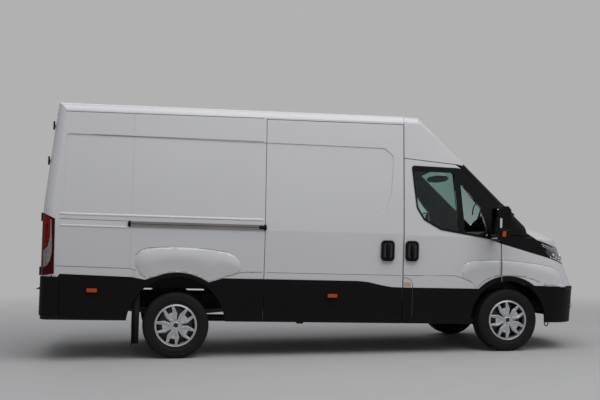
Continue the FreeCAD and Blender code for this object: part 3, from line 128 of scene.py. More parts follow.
def glass(name, tint):
    """Clear tinted glass with a faintly uneven tint."""
    material = surface(name, tint, 0.0, vary=0.04, vary_scale=1.5, rough_vary=0.0)
    shader = material.node_tree.nodes["Principled BSDF"]
    for link in list(shader.inputs["Roughness"].links):
        material.node_tree.links.remove(link)
    fill(shader, {"Roughness": 0.0, "Transmission Weight": 1.0, "Specular IOR Level": 0.2,
                  "IOR": 1.45})
    return material


def lamp_lens(name, colour):
    """A coloured lens, a little uneven and finely grained."""
    return surface(name, colour, 0.25, vary=0.18, vary_scale=40.0, grain=0.25, grain_scale=90.0,
                   spec=0.08)


WHITE = surface("white_paint", (0.53, 0.53, 0.545), 0.34, coat=0.35, vary=0.012, vary_scale=1.2,
                grain=0.02, grain_scale=900.0, rough_vary=0.04, dust=0.10, dust_top=1.0)
FLOOR_METAL = surface("floor_sheet", (0.30, 0.30, 0.31), 0.5, metal=0.2, vary=0.12, grain=0.1)
BLACK = surface("black_plastic", (0.0035, 0.0035, 0.004), 0.55, vary=0.15, vary_scale=9.0,
                grain=0.5, grain_scale=700.0, dust=0.02, dust_top=0.5, spec=0.12)
SHADE = surface("crease_shade", (0.16, 0.16, 0.165), 0.5, vary=0.05)
FAINT = surface("faint_seam", (0.36, 0.36, 0.37), 0.5, vary=0.05)
TRIM = surface("dark_trim", (0.012, 0.012, 0.013), 0.6, vary=0.15, grain=0.5, grain_scale=500.0)
GLOSS_BLACK = surface("gloss_black", (0.008, 0.008, 0.009), 0.12, coat=0.5, vary=0.1)
SEAM = surface("seam_shadow", (0.035, 0.035, 0.037), 0.8, vary=0.15)
RUBBER = surface("tyre_rubber", (0.009, 0.009, 0.0095), 0.72, vary=0.2, vary_scale=25.0,
                 grain=0.35, grain_scale=350.0, spec=0.18)
# The chassis's near-black, also given to faces low in the load body and under its floor as painted
# shade.
CHASSIS_AND_SHADE = surface("chassis_paint", (0.010, 0.010, 0.011), 0.6, vary=0.3, grain=0.3, dust=0.06,
                  spec=0.2)
CASTING = surface("cast_metal", (0.06, 0.058, 0.055), 0.65, metal=0.5, vary=0.3, grain=0.6,
                  grain_scale=150.0)
PIPE = surface("pipe_steel", (0.22, 0.20, 0.18), 0.45, metal=0.9, vary=0.3, grain=0.2)
CHROME = surface("chrome", (0.75, 0.75, 0.77), 0.12, metal=1.0, vary=0.05)
RAIL = surface("rail_metal", (0.20, 0.185, 0.175), 0.4, metal=0.3, vary=0.1, grain=0.15)
GLASS = glass("green_glass", (0.55, 0.75, 0.69))
SCREEN = glass("screen_glass", (0.60, 0.78, 0.73))
RED = lamp_lens("red_lens", (0.20, 0.004, 0.004))
DEEP_RED = lamp_lens("deep_red_lens", (0.045, 0.002, 0.002))
ORANGE = lamp_lens("orange_lens", (0.40, 0.065, 0.012))
PALE = lamp_lens("pale_lens", (0.20, 0.185, 0.185))
LAMP_BOWL = surface("lamp_bowl", (0.035, 0.036, 0.038), 0.15, metal=0.4, coat=1.0, vary=0.3,
                    vary_scale=30.0)
MIRROR = surface("mirror_glass", (0.70, 0.72, 0.74), 0.03, metal=1.0, vary=0.02)
FABRIC = surface("seat_cloth", (0.035, 0.035, 0.040), 0.9, vary=0.3, vary_scale=60.0, grain=0.8,
                 grain_scale=900.0, sheen=0.3)


# How far from the van's middle plane the hubcap's own silver face begins, in metres.
CAP_FACE_FROM = 0.9385


def wheel_finish():
    """Silver hubcap outside, dark steel behind it, told apart by how far out they lie."""
    material = surface("silver_cap", (0.46, 0.465, 0.475), 0.30, metal=0.55, coat=0.4, vary=0.06,
                       vary_scale=12.0, grain=0.04, grain_scale=800.0)
    tree, shader = tree_of(material)
    place = wire(tree, "TexCoord", "Object", {})
    y = wire(tree, "SeparateXYZ", "Y", {"Vector": place})
    off_middle = wire(tree, "Math", "Value", {0: y}, operation="ABSOLUTE")
    outer = wire(tree, "Math", "Value", {0: off_middle, 1: CAP_FACE_FROM},
                 operation="GREATER_THAN")
    silver = shader.inputs["Base Color"].links[0].from_socket
    mix = wire(tree, "Mix", "Result", {"Factor": outer, "A": (0.012, 0.012, 0.013, 1),
                                       "B": silver}, data_type="RGBA")
    fill(shader, {"Base Color": mix})
    return material


CAP = wheel_finish()
# A lighter copy of the hubcap's silver for its raised prongs, webs and rings: painted highlight on
# the relief.
CAP_HIGHLIGHT = surface("silver_ridge_highlight", (0.55, 0.555, 0.565), 0.24, metal=0.6, coat=0.4, vary=0.05,
                     vary_scale=20.0)
CLEAR_DARK = surface("lens_bowl", (0.16, 0.165, 0.17), 0.08, metal=0.7, coat=1.0, vary=0.2)
PALE_GREY = surface("pale_patch", (0.45, 0.45, 0.47), 0.3, vary=0.1)
STICKER = surface("blank_sticker_card", (0.40, 0.30, 0.20), 0.6, vary=0.08)

FINISH = {
    "white_paint": WHITE, "floor_metal": FLOOR_METAL, "green_glass": GLASS,
    "black_plastic": BLACK, "dark_plastic": TRIM, "seat_fabric": FABRIC, "lamp_plastic": CHROME,
    "red_lens": DEEP_RED, "rail_metal": RAIL, "chassis_paint": CHASSIS_AND_SHADE, "cast_metal": CASTING,
    "engine_metal": CASTING, "pipe_metal": PIPE, "tyre_rubber": RUBBER, "silver_cap": CAP,
}
# The bulkhead is black as painted shade behind the seats.
NODE_FINISH = {"cab_shell": BLACK, "bulkhead": BLACK, "headlamps": LAMP_BOWL,
               "windscreen": SCREEN}
NODE_SLOT = {entry["node"]: entry["material_slot"] for entry in frame["record"]["subparts"]}
for node, obj in frame["nodes"].items():
    obj.data.materials.clear()
    obj.data.materials.append(NODE_FINISH.get(node) or FINISH[NODE_SLOT[node]])


# Making pieces.

def back(point):
    """A row point as the body's level millimetres."""
    dx, dz = point.x + MIDDLE_X - PIVOT_X, point.z - PIVOT_Z
    return (1000 * (PIVOT_X + dx * math.cos(RAKE) - dz * math.sin(RAKE)), 1000 * point.y,
            1000 * (PIVOT_Z + dx * math.sin(RAKE) + dz * math.cos(RAKE)))


def finish_piece(name, bm, finish, body="body", smooth=False):
    """Turns the built faces into an object that rides a body, in the given finish."""
    bmesh.ops.recalc_face_normals(bm, faces=bm.faces)
    mesh = bpy.data.meshes.new(name)
    bm.to_mesh(mesh)
    bm.free()
    mesh.materials.append(finish)
    for polygon in mesh.polygons:
        polygon.use_smooth = smooth
    obj = bpy.data.objects.new(name, mesh)
    bpy.context.scene.collection.objects.link(obj)
    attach(obj, body)
    return obj


def bridge(bm, rings, around=True, closed=False):
    """Faces between each row of vertices and the next, and back to the first when closed."""
    count = len(rings[0])
    for one, two in zip(rings, rings[1:] + (rings[:1] if closed else [])):
        for index in range(count if around else count - 1):
            after = (index + 1) % count
            bm.faces.new((one[index], one[after], two[after], two[index]))


def circle(count):
    """The cosine and sine of each step round a full turn."""
    turns = [2 * math.pi * n / count for n in range(count)]
    return [(math.cos(turn), math.sin(turn)) for turn in turns]


TYRE_STEPS = 144


def turned_mesh(profile, centre, side):
    """A closed profile of (radius, offset) turned about a wheel's axle; side -1 is the right."""
    bm = bmesh.new()
    bridge(bm, [[bm.verts.new(centre + Vector((radius * c, -side * offset, radius * s)))
                 for radius, offset in profile] for c, s in circle(TYRE_STEPS)], closed=True)
    return bm


@functools.cache
def skin_of(*names):
    """What rays meet: the meshes of the named nodes as one tree."""
    verts, faces = [], []
    for name in names:
        mesh = frame["nodes"][name].data
        start = len(verts)
        verts += [vertex.co.copy() for vertex in mesh.vertices]
        faces += [[start + index for index in polygon.vertices] for polygon in mesh.polygons]
    return BVHTree.FromPolygons(verts, faces)


# Each view: where a ray starts for the two measures of its plane, and which way it runs. The
# starts lie outside the van on that side.
VIEWS = {
    "right": (lambda u, v: at(u, -1600, v), Vector((0, 1, 0))),
    "left": (lambda u, v: at(u, 1600, v), Vector((0, -1, 0))),
    "front": (lambda u, v: at(6000, u, v), -along(1, 0, 0)),
    "rear": (lambda u, v: at(-3000, u, v), along(1, 0, 0)),
    "top": (lambda u, v: at(u, v, 3500), -along(0, 0, 1)),
}


def rounded(points, radius, steps=4):
    """A polygon with its corners rounded off."""
    out = []
    for index, point in enumerate(points):
        here = Vector(point)
        before, after = Vector(points[index - 1]), Vector(points[(index + 1) % len(points)])
        cut_in = min(radius, (before - here).length * 0.45)
        cut_out = min(radius, (after - here).length * 0.45)
        start = here + (before - here).normalized() * cut_in
        end = here + (after - here).normalized() * cut_out
        for step in range(steps + 1):
            t = step / steps
            out.append(tuple(start * (1 - t) ** 2 + here * 2 * t * (1 - t) + end * t ** 2))
    return out


def hit(skin, view, u, v):
    """Where a view's ray first meets the skin, and the way that the skin faces there."""
    start_of, ray = VIEWS[view]
    return skin.ray_cast(start_of(u, v), ray)[:2]


def plate(low, high, radius, steps=4):
    """A rounded rectangle from its low corner to its high one."""
    return rounded([low, (high[0], low[1]), high, (low[0], high[1])], radius, steps)


def stroke(points, width):
    """The outline of a line of the given width along points."""
    left, right = [], []
    for index, point in enumerate(points):
        here = Vector(point)
        ahead = Vector(points[min(index + 1, len(points) - 1)])
        behind = Vector(points[max(index - 1, 0)])
        run = (ahead - behind).normalized()
        across = Vector((-run.y, run.x)) * width / 2
        left.append(tuple(here + across))
        right.append(tuple(here - across))
    return left + right[::-1]


# Over this many millimetres from its foot, a swell comes up to its full height.
FOOT_FALL = 150.0


def off_line(point, line):
    """How far a flat point is from the nearest stretch of a line."""
    nearest = math.inf
    for one, two in zip(line, line[1:]):
        start, run = Vector(one), Vector(two) - Vector(one)
        t = max(0.0, min(1.0, (point - start).dot(run) / max(run.length_squared, 1e-9)))
        nearest = min(nearest, (point - start - run * t).length)
    return nearest


def drape(name, outline, finish, skin, view, body="body", lift=2.0, depth=5.0,
          cell=60, smooth=False, swell=0.0, fall=100.0, brim=None, foot=None):
    """A flat outline laid on the skin as seen in a view, standing proud of it by lift.

    A swell raises it further, over the fall from its brim, which is else its whole edge, and
    dies away again towards its foot."""
    start_of, ray = VIEWS[view]
    bm = bmesh.new()
    bm.faces.new([bm.verts.new((u, v, 0)) for u, v in outline])
    for axis in (0, 1):
        low = min(point[axis] for point in outline)
        high = max(point[axis] for point in outline)
        line = math.ceil(low / cell) * cell
        while line < high:
            place, normal = [0, 0, 0], [0, 0, 0]
            place[axis], normal[axis] = line, 1
            bmesh.ops.bisect_plane(bm, geom=bm.verts[:] + bm.edges[:] + bm.faces[:],
                                   plane_co=place, plane_no=normal)
            line += cell
    bmesh.ops.triangulate(bm, faces=bm.faces[:])
    hits, missed = [], []
    for vertex in bm.verts:
        start = start_of(vertex.co.x, vertex.co.y)
        rise = lift
        if swell:
            from_brim = off_line(vertex.co.xy, brim or outline + outline[:1]) / fall
            from_foot = off_line(vertex.co.xy, foot) / FOOT_FALL if foot else 1.0
            rise += (swell * math.sin(min(1.0, from_brim) * math.pi / 2)
                     * min(1.0, from_foot))
        place = skin.ray_cast(start, ray)[0]
        if place is None:
            missed.append((vertex, start))
        else:
            hits.append((place - start).length)
            vertex.co = place - ray * rise / 1000
    reach = sum(hits) / len(hits)
    for vertex, start in missed:
        vertex.co = start + ray * (reach - lift / 1000)
    border = [edge for edge in bm.edges if len(edge.link_faces) == 1]
    made = bmesh.ops.extrude_edge_only(bm, edges=border)["geom"]
    for vertex in (item for item in made if isinstance(item, bmesh.types.BMVert)):
        place = skin.ray_cast(vertex.co - ray, ray)[0] if swell else None
        if place:
            vertex.co = place + ray * depth / 1000
        else:
            vertex.co += ray * (lift + depth) / 1000
    return finish_piece(name, bm, finish, body, smooth)


def sweep(name, path, profile, finish, up, body="body", closed=False, scale=None):
    """A profile of (across, up) millimetres carried along points of the row frame."""
    bm = bmesh.new()
    rings = []
    count = len(path)
    for index, place in enumerate(path):
        ahead = path[(index + 1) % count] if closed else path[min(index + 1, count - 1)]
        behind = path[index - 1] if closed else path[max(index - 1, 0)]
        run = (ahead - behind).normalized()
        across = run.cross(up).normalized()
        rise = across.cross(run).normalized()
        size = scale[index] if scale else 1.0
        rings.append([bm.verts.new(place + (across * a + rise * b) * size / 1000)
                      for a, b in profile])
    bridge(bm, rings, closed=closed)
    if not closed:
        bm.faces.new(rings[0][::-1])
        bm.faces.new(rings[-1])
    return finish_piece(name, bm, finish, body, smooth=True)


def disc_profile(radius, count=10):
    """The corners of a round section."""
    return [(radius * c, radius * s) for c, s in circle(count)]


def ring(name, centre, axis, radius, thick, finish, body="body", steps=40):
    """A round ring about an axis, at a row point, in millimetres."""
    side = axis.orthogonal().normalized()
    other = axis.cross(side)
    path = [centre + (side * c + other * s) * radius / 1000 for c, s in circle(steps)]
    return sweep(name, path, disc_profile(thick, 8), finish, axis, body, closed=True)


def soft_box(name, centre, size, finish, body="body", edge=6.0):
    """A block with rounded edges at a body-frame point, in millimetres."""
    bm = bmesh.new()
    bmesh.ops.create_cube(bm, size=1.0)
    for vertex in bm.verts:
        vertex.co = Vector([vertex.co[n] * size[n] / 1000 for n in range(3)])
    bmesh.ops.bevel(bm, geom=bm.edges[:], offset=edge / 1000, segments=3, affect="EDGES")
    bm.transform(Matrix.Translation(at(*centre)) @ Matrix.Rotation(RAKE, 4, "Y"))
    return finish_piece(name, bm, finish, body, smooth=True)


def paint(node, finish, test):
    """Gives the faces of a CAD node that pass the test a finish of their own.

    The test takes the middle of a face and the way the face looks."""
    mesh = frame["nodes"][node].data
    mesh.materials.append(finish)
    for polygon in mesh.polygons:
        if test(polygon.center, polygon.normal):
            polygon.material_index = len(mesh.materials) - 1


# A face counts as behind a skin when it lies more than this many metres deeper.
PANEL_DEPTH = 0.010


def behind(skin, view):
    """A test for faces that lie deeper than the outermost skin, as seen in a view."""
    ray = VIEWS[view][1]

    def test(middle, normal):
        place = skin.ray_cast(middle - ray * 2.0, ray)[0]
        return place is not None and (middle - place).dot(ray) > PANEL_DEPTH
    return test


SIGN = {"right": -1, "left": 1}

# Wheels: grooved tyres and the hubcap's ridges.

# The tread's grooves: their places across it, half widths at the top and the floor, and radii.
GROOVES = (-0.052, -0.018, 0.018, 0.052)
TOP_HALF, FLOOR_HALF = 0.0062, 0.0050
GROOVE_TOP, GROOVE_FLOOR = 0.3298, 0.3225
SHOULDER = (0.3290, 0.0780)
# One wall from the bead out to the tread: radius, and how far from the tyre's middle plane.
SIDE_WALL = [(0.2063, 0.0885), (0.214, 0.0975), (0.224, 0.1020), (0.228, 0.1000), (0.234, 0.1050),
             (0.255, 0.1092), (0.268, 0.1094), (0.271, 0.1078), (0.275, 0.1092), (0.292, 0.1068),
             (0.302, 0.1052), (0.313, 0.0985), (0.322, 0.0915), (0.3272, 0.0845)]


def tyre_profile():
    """Radius and offset from the middle plane, from the inner bead round to the outer one."""
    tread = [(SHOULDER[0], -SHOULDER[1])]
    for middle in GROOVES:
        tread += [(GROOVE_TOP, middle - TOP_HALF), (GROOVE_FLOOR, middle - FLOOR_HALF),
                  (GROOVE_FLOOR, middle + FLOOR_HALF), (GROOVE_TOP, middle + TOP_HALF)]
    tread.append(SHOULDER)
    return [(radius, -offset) for radius, offset in SIDE_WALL] + tread + SIDE_WALL[::-1]


# Corners: X of the axle in metres from the rear one, side, hubcap's turn in degrees.
CORNERS = {
    "front_right": (3.520, -1, 0), "front_left": (3.520, 1, 0),
    "rear_right": (0.0, -1, 5), "rear_left": (0.0, 1, 5),
}
TRACK_HALF, AXLE_HEIGHT = 0.855, 0.330
# A hubcap's measures are millimetres and degrees; offsets run outward from the wheel's middle.
PETALS, FIRST_PETAL = 5, 180
# A prong of a petal: radius, angle from the petal's middle and share of the full half width.
PRONG = [(58, 9, 0.7), (84, 19, 1.0), (112, 21.5, 1.15), (140, 20, 1.1), (168, 16.6, 0.9),
         (194, 13.6, 0.7)]
PRONG_HALF = 8.5
# Its section: place across, as a share of the half width, and height over its base.
PRONG_SECTION = ((-1, 0), (-0.2, 8.5), (0.4, 8.0), (1, 0))
PRONG_BASE, TIP_BASE, TIP_FROM = 98.5, 97.0, 180
# The plate between the two prongs: radius and half width, out to its lip.
WEB = [(44, 12), (60, 20), (84, 30), (108, 38), (126, 41), (134, 42), (136, 42)]
WEB_FACE, WEB_DISH, WEB_LIP = 98.0, 2.5, 6.0
# Rings on the cap: name, radius, thickness, offset and steps.
CAP_RINGS = (("edge", 207.5, 4.2, 94.0, 96), ("boss", 30, 6.5, 96.5, 40))
HUB_RING_RADIUS, HUB_RING_THICK, HUB_RING_OFFSET = 26, 1.6, 90.5
DARK_MIDDLE = 0.0345


def hub_point(radius, angle, offset):
    """A point of the hubcap before it is moved to its wheel."""
    turn = math.radians(angle)
    return Vector((radius * math.cos(turn), -offset, radius * math.sin(turn))) / 1000


def cap_prong(bm, middle, hand):
    """One ridged prong of the petal about the angle middle, closed at both ends."""
    rings = []
    for radius, angle, width in PRONG:
        spread = math.degrees(PRONG_HALF * width / radius)
        base = PRONG_BASE if radius < TIP_FROM else TIP_BASE
        rings.append([bm.verts.new(hub_point(radius, middle + hand * (angle + spread * across),
                                             base + rise)) for across, rise in PRONG_SECTION])
    bridge(bm, rings, around=False)
    bm.faces.new(rings[0])
    bm.faces.new(rings[-1])


def cap_web(bm, middle):
    """The dished plate between a petal's prongs, with its outer edge turned in."""
    rows = []
    for radius, half in WEB:
        spread = math.degrees(half / radius)
        lip = WEB_LIP if radius == WEB[-1][0] else 0.0
        rows.append([bm.verts.new(hub_point(radius, middle + spread * t,
                                            WEB_FACE - WEB_DISH * (1 - t * t) - lip))
                     for t in (-1, -0.5, 0, 0.5, 1)])
    bridge(bm, rows, around=False)


def wheel_look(corner, x, side, cap_turn):
    """The grooved tyre in place of the plain one, and the hubcap's ridges and rings."""
    centre = Vector((x - MIDDLE_X, side * TRACK_HALF, AXLE_HEIGHT))
    axis = Vector((0, side, 0))
    body = "road_wheel_" + corner
    tyre = finish_piece("tyre_look_" + corner, turned_mesh(tyre_profile(), centre, side), RUBBER,
                        body, smooth=True)
    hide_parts("tyre_" + corner)
    bm = bmesh.new()
    for petal in range(PETALS):
        middle = FIRST_PETAL + 360 / PETALS * petal
        for hand in (-1, 1):
            cap_prong(bm, middle, hand)
        cap_web(bm, middle)
    bm.transform(Matrix.Translation(centre) @ Matrix.Rotation(0 if side < 0 else math.pi, 4, "Z")
                 @ Matrix.Rotation(math.radians(-cap_turn), 4, "Y"))
    finish_piece("hubcap_prongs_" + corner, bm, CAP_HIGHLIGHT, body)
    for name, radius, thick, offset, steps in CAP_RINGS:
        ring(f"hubcap_{name}_{corner}", centre + axis * offset / 1000, axis, radius, thick,
             CAP_HIGHLIGHT, body, steps=steps)
    ring("valve_ring_" + corner, centre + axis * HUB_RING_OFFSET / 1000, axis, HUB_RING_RADIUS,
         HUB_RING_THICK, GLOSS_BLACK, body)
    paint("wheel_" + corner, GLOSS_BLACK, lambda middle, normal: math.hypot(
        middle.x - centre.x, middle.z - centre.z) < DARK_MIDDLE)


for corner, place in CORNERS.items():
    wheel_look(corner, *place)

# Body sides. An outline on a side is (x, z) in the body's level frame.

load_skin = {
    "right": skin_of("body_side_right", "sliding_door", "body_cladding", "roof",
                     "rear_and_side_lamps"),
    "left": skin_of("body_side_left", "body_cladding", "roof", "rear_and_side_lamps"),
}
cab_skin = {side: skin_of("cab_door_" + side, "cab_door_trim_" + side, "front_wings",
                          "cab_door_glass_" + side) for side in SIGN}

PANEL_SEAMS = {"": [(-468, 2386), (-470, 1345)], "low_": [(-470, 1225), (-472, 860)]}
# Raised ridges along the side: their line and width.
RIDGES = {"upper": ([(-1165, 1368), (846, 1366)], 26), "lower": ([(-1162, 1254), (-512, 1250)], 22)}
SIDE_CREASES = {
    "seam": [(-1160, 1318), (-512, 1312)], "top": [(-1136, 2163), (840, 2170)],
    "low_rear": [(-1187, 856), (-470, 845), (-430, 832), (-372, 785)],
    "low_front": [(500, 785), (560, 806), (623, 824), (673, 832), (846, 833)],
    "roof": [(-1186, 2384), (840, 2414)],
}
LONG_CREASE = [(872, 833), (2316, 830)]
SEAM_BACKING = [(-1180, 446), (-1150, 446), (-1150, 706), (-1180, 706)]
# Side markers: the middles of the lenses and half their size.
MARKERS, MARKER_HALF = ((-828, 626), (1580, 610)), Vector((50, 18))
# The rear lamp's bright red field and its pale swoosh, on the dark red lens.
LAMP_RED = [(-1308, 1362), (-1254, 1336), (-1252, 1140), (-1268, 1052), (-1306, 1012)]
LAMP_SWOOSH = [(-1246, 1312), (-1236, 1308), (-1225, 1128), (-1222, 985), (-1238, 905),
               (-1262, 862), (-1304, 836), (-1308, 1000), (-1262, 1044), (-1245, 1135)]
# A strip that folds forward from the outer edge of each rear mudflap.
FLAP_X, FLAP_Y, FLAP_Z, FLAP_SIZE = -399, 934, 350, (74, 14, 500)

# Each bulge: the brim that it swells from, then the foot where it dies away.
WHEEL_BRIM = [(-304, 746), (-362, 782), (-420, 880), (-416, 974), (-379, 1024), (-319, 1048),
              (-183, 1062), (-10, 1068), (163, 1063), (364, 1047), (490, 1025), (567, 989),
              (620, 928), (640, 868), (600, 818)]
WHEEL_FOOT = [(500, 786), (440, 762), (314, 722), (230, 766), (120, 804), (0, 818), (-120, 804),
              (-220, 770)]
DOOR_BRIM = [(3110, 764), (3000, 812), (2990, 890), (3010, 960), (3060, 990), (3130, 1004),
             (3426, 1012)]
DOOR_FOOT = [(3426, 846), (3330, 826), (3240, 784), (3180, 724), (3150, 722)]
WING_BRIM = [(3440, 1012), (3640, 1002), (3853, 980), (4030, 950), (4120, 912), (4176, 850)]
WING_FOOT = [(4190, 740), (3985, 728), (3900, 768), (3800, 810), (3680, 838), (3560, 846),
             (3440, 842)]
DOOR_CREASE = [(2344, 832), (2907, 838), (2991, 816), (3110, 768)]


def crease(name, points, body, skin, side, width=6, lift=0.9):
    """A line of shade along a fold of the panel."""
    drape(name, stroke(points, width), SHADE, skin, side, body=body, lift=lift, depth=2)


def bulge(name, brim, foot, body, skin, side, swell, fall, back_round=True):
    """A pressing that swells from its brim and dies away at its foot.

    The foot runs back round to the first point of the brim, or ends with its own last one."""
    drape(name, brim + foot, WHITE, skin, side, body=body, lift=0.6, cell=26, smooth=True,
          swell=swell, fall=fall, brim=brim, foot=foot + brim[:1] if back_round else foot)


def load_side(side, sign):
    """Seams, ridges, creases, lamps and the wheel's bulge on one side of the load body."""
    skin = load_skin[side]
    for name, points in PANEL_SEAMS.items():
        drape(f"panel_seam_{name}{side}", stroke(points, 3), FAINT, skin, side, lift=0.6)
    for name, (points, width) in RIDGES.items():
        drape(f"side_ridge_{name}_{side}", stroke(points, width), WHITE, skin, side,
              lift=0.8, cell=12, smooth=True, swell=6.0, fall=11.0)
    for name, points in SIDE_CREASES.items():
        crease(f"crease_{name}_{side}", points, "body", skin, side)
    bulge("wheel_bulge_" + side, WHEEL_BRIM, WHEEL_FOOT, "body", skin, side, 22.0, 110.0)
    crease("bulge_line_" + side, WHEEL_BRIM[3:11], "body", skin, side, width=7, lift=1.2)
    drape("seam_backing_" + side, SEAM_BACKING, BLACK, skin_of("body_side_" + side), side,
          lift=0.5, depth=1)
    for number, middle in enumerate(MARKERS):
        low, high = Vector(middle) - MARKER_HALF, Vector(middle) + MARKER_HALF
        drape(f"marker_lens_{number}_{side}", plate(low, high, 10), ORANGE, skin, side)
    drape("lamp_red_" + side, LAMP_RED, RED, skin, side, lift=1.6, depth=2, cell=30)
    drape("lamp_swoosh_" + side, LAMP_SWOOSH, PALE, skin, side, lift=1.8, depth=2, cell=30)
    crease("long_crease_" + side, LONG_CREASE, "body", skin, side, width=5, lift=0.8)
    soft_box("mudflap_wing_" + side, (FLAP_X, sign * FLAP_Y, FLAP_Z), FLAP_SIZE, RUBBER,
             edge=5)


def cab_side(side):
    """The bulge over the front wheel, on the door and on the wing, and the folds beside it."""
    skin, door = cab_skin[side], "door_" + side
    bulge("door_bulge_" + side, DOOR_BRIM, DOOR_FOOT, door, skin, side, 16.0, 80.0)
    bulge("wing_bulge_" + side, WING_BRIM, WING_FOOT, "body", skin, side, 16.0, 80.0,
          back_round=False)
    for name, points, body in (("door_low", DOOR_CREASE, door), ("door_top", DOOR_BRIM[3:], door),
                               ("wing_top", WING_BRIM[:5], "body")):
        crease(f"crease_{name}_{side}", points, body, skin, side, lift=1.0)


for side, sign in SIGN.items():
    load_side(side, sign)
for side in SIGN:
    cab_side(side)

# The sliding door's rail: a block at each end, the groove and the carriage.

RAIL_Z, RAIL_FACE_Y = 1287, -1018.5
RAIL_BLOCKS, RAIL_GROOVE, CARRIAGE_X = (-486, 864), (-480, 860), 838
for number, x in enumerate(RAIL_BLOCKS):
    soft_box(f"rail_end_{number}", (x, -1007, RAIL_Z), (34, 30, 60), BLACK, edge=7)
sweep("rail_groove", [at(x, RAIL_FACE_Y, RAIL_Z) for x in RAIL_GROOVE],
      [(-3, -1.5), (3, -1.5), (2, 1.2), (-2, 1.2)], SEAM, Vector((0, -1, 0)))
soft_box("rail_carriage", (CARRIAGE_X, -1019, RAIL_Z), (70, 16, 34), BLACK, edge=5)

# The fuel flap's edge on the door and the sill, and the blank pale sticker beside it.

FLAP_EDGE = [(2346, 808), (2391, 802), (2424, 782), (2438, 752), (2441, 700), (2438, 400)]
STICKER_OUTLINE = [(2345, 716), (2420, 716), (2420, 760), (2345, 760)]
drape("fuel_flap_edge", stroke(FLAP_EDGE, 5), SEAM, cab_skin["right"], "right",
      body="door_right", lift=1.0)
drape("blank_sticker", STICKER_OUTLINE, STICKER, cab_skin["right"], "right", body="door_right",
      lift=1.2, depth=1)

# Handles.

CAB_HANDLE, SLIDE_HANDLE = (2421, 1086), (2158, 1084)
LOCK_LOW, LOCK_HIGH = (2408, 1006), (2434, 1030)
# A grip's recess about its middle: to the left, right, low and high edge.
RECESS = (-44, 44, -76, 82)
# How far the middle of a grip bar bows out beyond its ends, and the bar's section.
GRIP_BOW = 20
GRIP_SECTION = [(-13, -5), (13, -5), (16, 0), (11, 6), (-11, 6), (-16, 0)]


def grip_path(place, out, half, stand):
    """Points of a bowed grip bar: half its length, and how far its ends stand off."""
    up = along(0, 0, 1)
    return [place + up * v / 1000
            + out * (stand + GRIP_BOW * math.cos(v / (half + 4) * math.pi / 2)) / 1000
            for v in range(-half, half + 1, half // 5)]


def handle_grip(name, middle, side, skin, body):
    """A darker recess and a grip bar across it, on the black handle plate."""
    x, z = middle
    left, right, low, high = (middle[n // 2] + RECESS[n] for n in range(4))
    drape(name + "_recess", plate((left, low), (right, high), 34, 6), GLOSS_BLACK, skin, side,
          body=body, lift=1.0, cell=40)
    place, out = hit(skin, side, x, z)[0], -VIEWS[side][1]
    sweep(name + "_bar", grip_path(place, out, 80, 6), GRIP_SECTION, BLACK, out, body)


for side in SIGN:
    handle_grip("cab_handle_" + side, CAB_HANDLE, side, cab_skin[side], "door_" + side)
    drape("lock_" + side, plate(LOCK_LOW, LOCK_HIGH, 12), CHROME, cab_skin[side], side,
          body="door_" + side)
handle_grip("slide_handle", SLIDE_HANDLE, "right", load_skin["right"], "body")

# Mirrors: two glasses on the rear face of each housing, and what shows on its outer side.

MIRROR_Y, MIRROR_HALF = 1180, 78
MIRROR_GLASSES = (("main", 1322, 1552), ("wide", 1236, 1310))
INDICATOR = [(3302, 1262), (3340, 1262), (3344, 1318), (3306, 1318)]
PATCH_LOW, PATCH_HIGH = (3274, 1352), (3298, 1452)
HOUSING_SPLIT = [(3266, 1336), (3388, 1330)]


def mirror_glass(name, sign, low, high, rear_x, body):
    """A thin rounded pane, 3 mm proud of the housing's rear face."""
    outline = plate((-MIRROR_HALF, low), (MIRROR_HALF, high), 18)
    bm = bmesh.new()
    rear, front = ([bm.verts.new(at(x, sign * MIRROR_Y + u, v)) for u, v in outline]
                   for x in (rear_x - 3, rear_x + 2))
    bm.faces.new(rear)
    bm.faces.new(front[::-1])
    bridge(bm, [rear, front])
    finish_piece(name, bm, MIRROR, body)


for side, sign in SIGN.items():
    body, skin = "door_" + side, skin_of("cab_door_trim_" + side)
    rear_x = back(skin.ray_cast(at(2600, sign * MIRROR_Y, 1400), along(1, 0, 0))[0])[0]
    for name, low, high in MIRROR_GLASSES:
        mirror_glass(f"mirror_glass_{name}_{side}", sign, low, high, rear_x, body)
    drape("mirror_indicator_" + side, rounded(INDICATOR, 8), ORANGE, skin, side, body=body,
          lift=2.5, cell=30)
    drape("mirror_patch_" + side, plate(PATCH_LOW, PATCH_HIGH, 5), PALE_GREY, skin, side,
          body=body, lift=1.5, cell=30)
    drape("mirror_split_" + side, stroke(HOUSING_SPLIT, 3), SEAM, skin, side, body=body,
          lift=0.8, cell=40)

# Headlamps: bright strips and ringed lenses, (x, z) on the side and (y, z) on the front.

SIDE_STRIPS = (
    ("top", [(3830, 1222), (3960, 1184), (4090, 1140), (4180, 1092), (4226, 1046)], 9),
    ("mid", [(3900, 1186), (4000, 1150), (4080, 1118)], 6),
    ("low", [(3890, 1112), (4040, 1052), (4150, 1022), (4240, 996)], 7))
FRONT_STRIPS = (
    ("brow", [(500, 1124), (600, 1132), (700, 1136), (800, 1150), (846, 1160)]),
    ("floor", [(500, 970), (620, 980), (720, 990), (800, 1006), (850, 1024)]))
lamp_skin = skin_of("headlamps", "front_wings", "bonnet", "grille")
# Ringed lenses: number, place in the view and radius.
SIDE_EYES = ((0, 4088, 1071, 30), (2, 4180, 1034, 22))
FRONT_EYES = ((0, 560, 1050, 46), (1, 690, 1062, 40))
# Each kind of lens: the ring's thickness, the ball's share of its radius, how far the ball is
# sunk, as a share too, and the ball's steps.
EYE_KINDS = {"lamp": (3.6, 0.82, 0.35, 20), "beam": (4.0, 0.9, 0.55, 24)}
LAMP_WEDGE = [(3908, 1216), (3980, 1196), (3975, 1112), (3912, 1172)]


def lamp_strip(name, points, width, view, cell):
    """A chrome line on the lamp's cover."""
    drape(name, stroke(points, width), CHROME, lamp_skin, view, cell=cell, smooth=True)


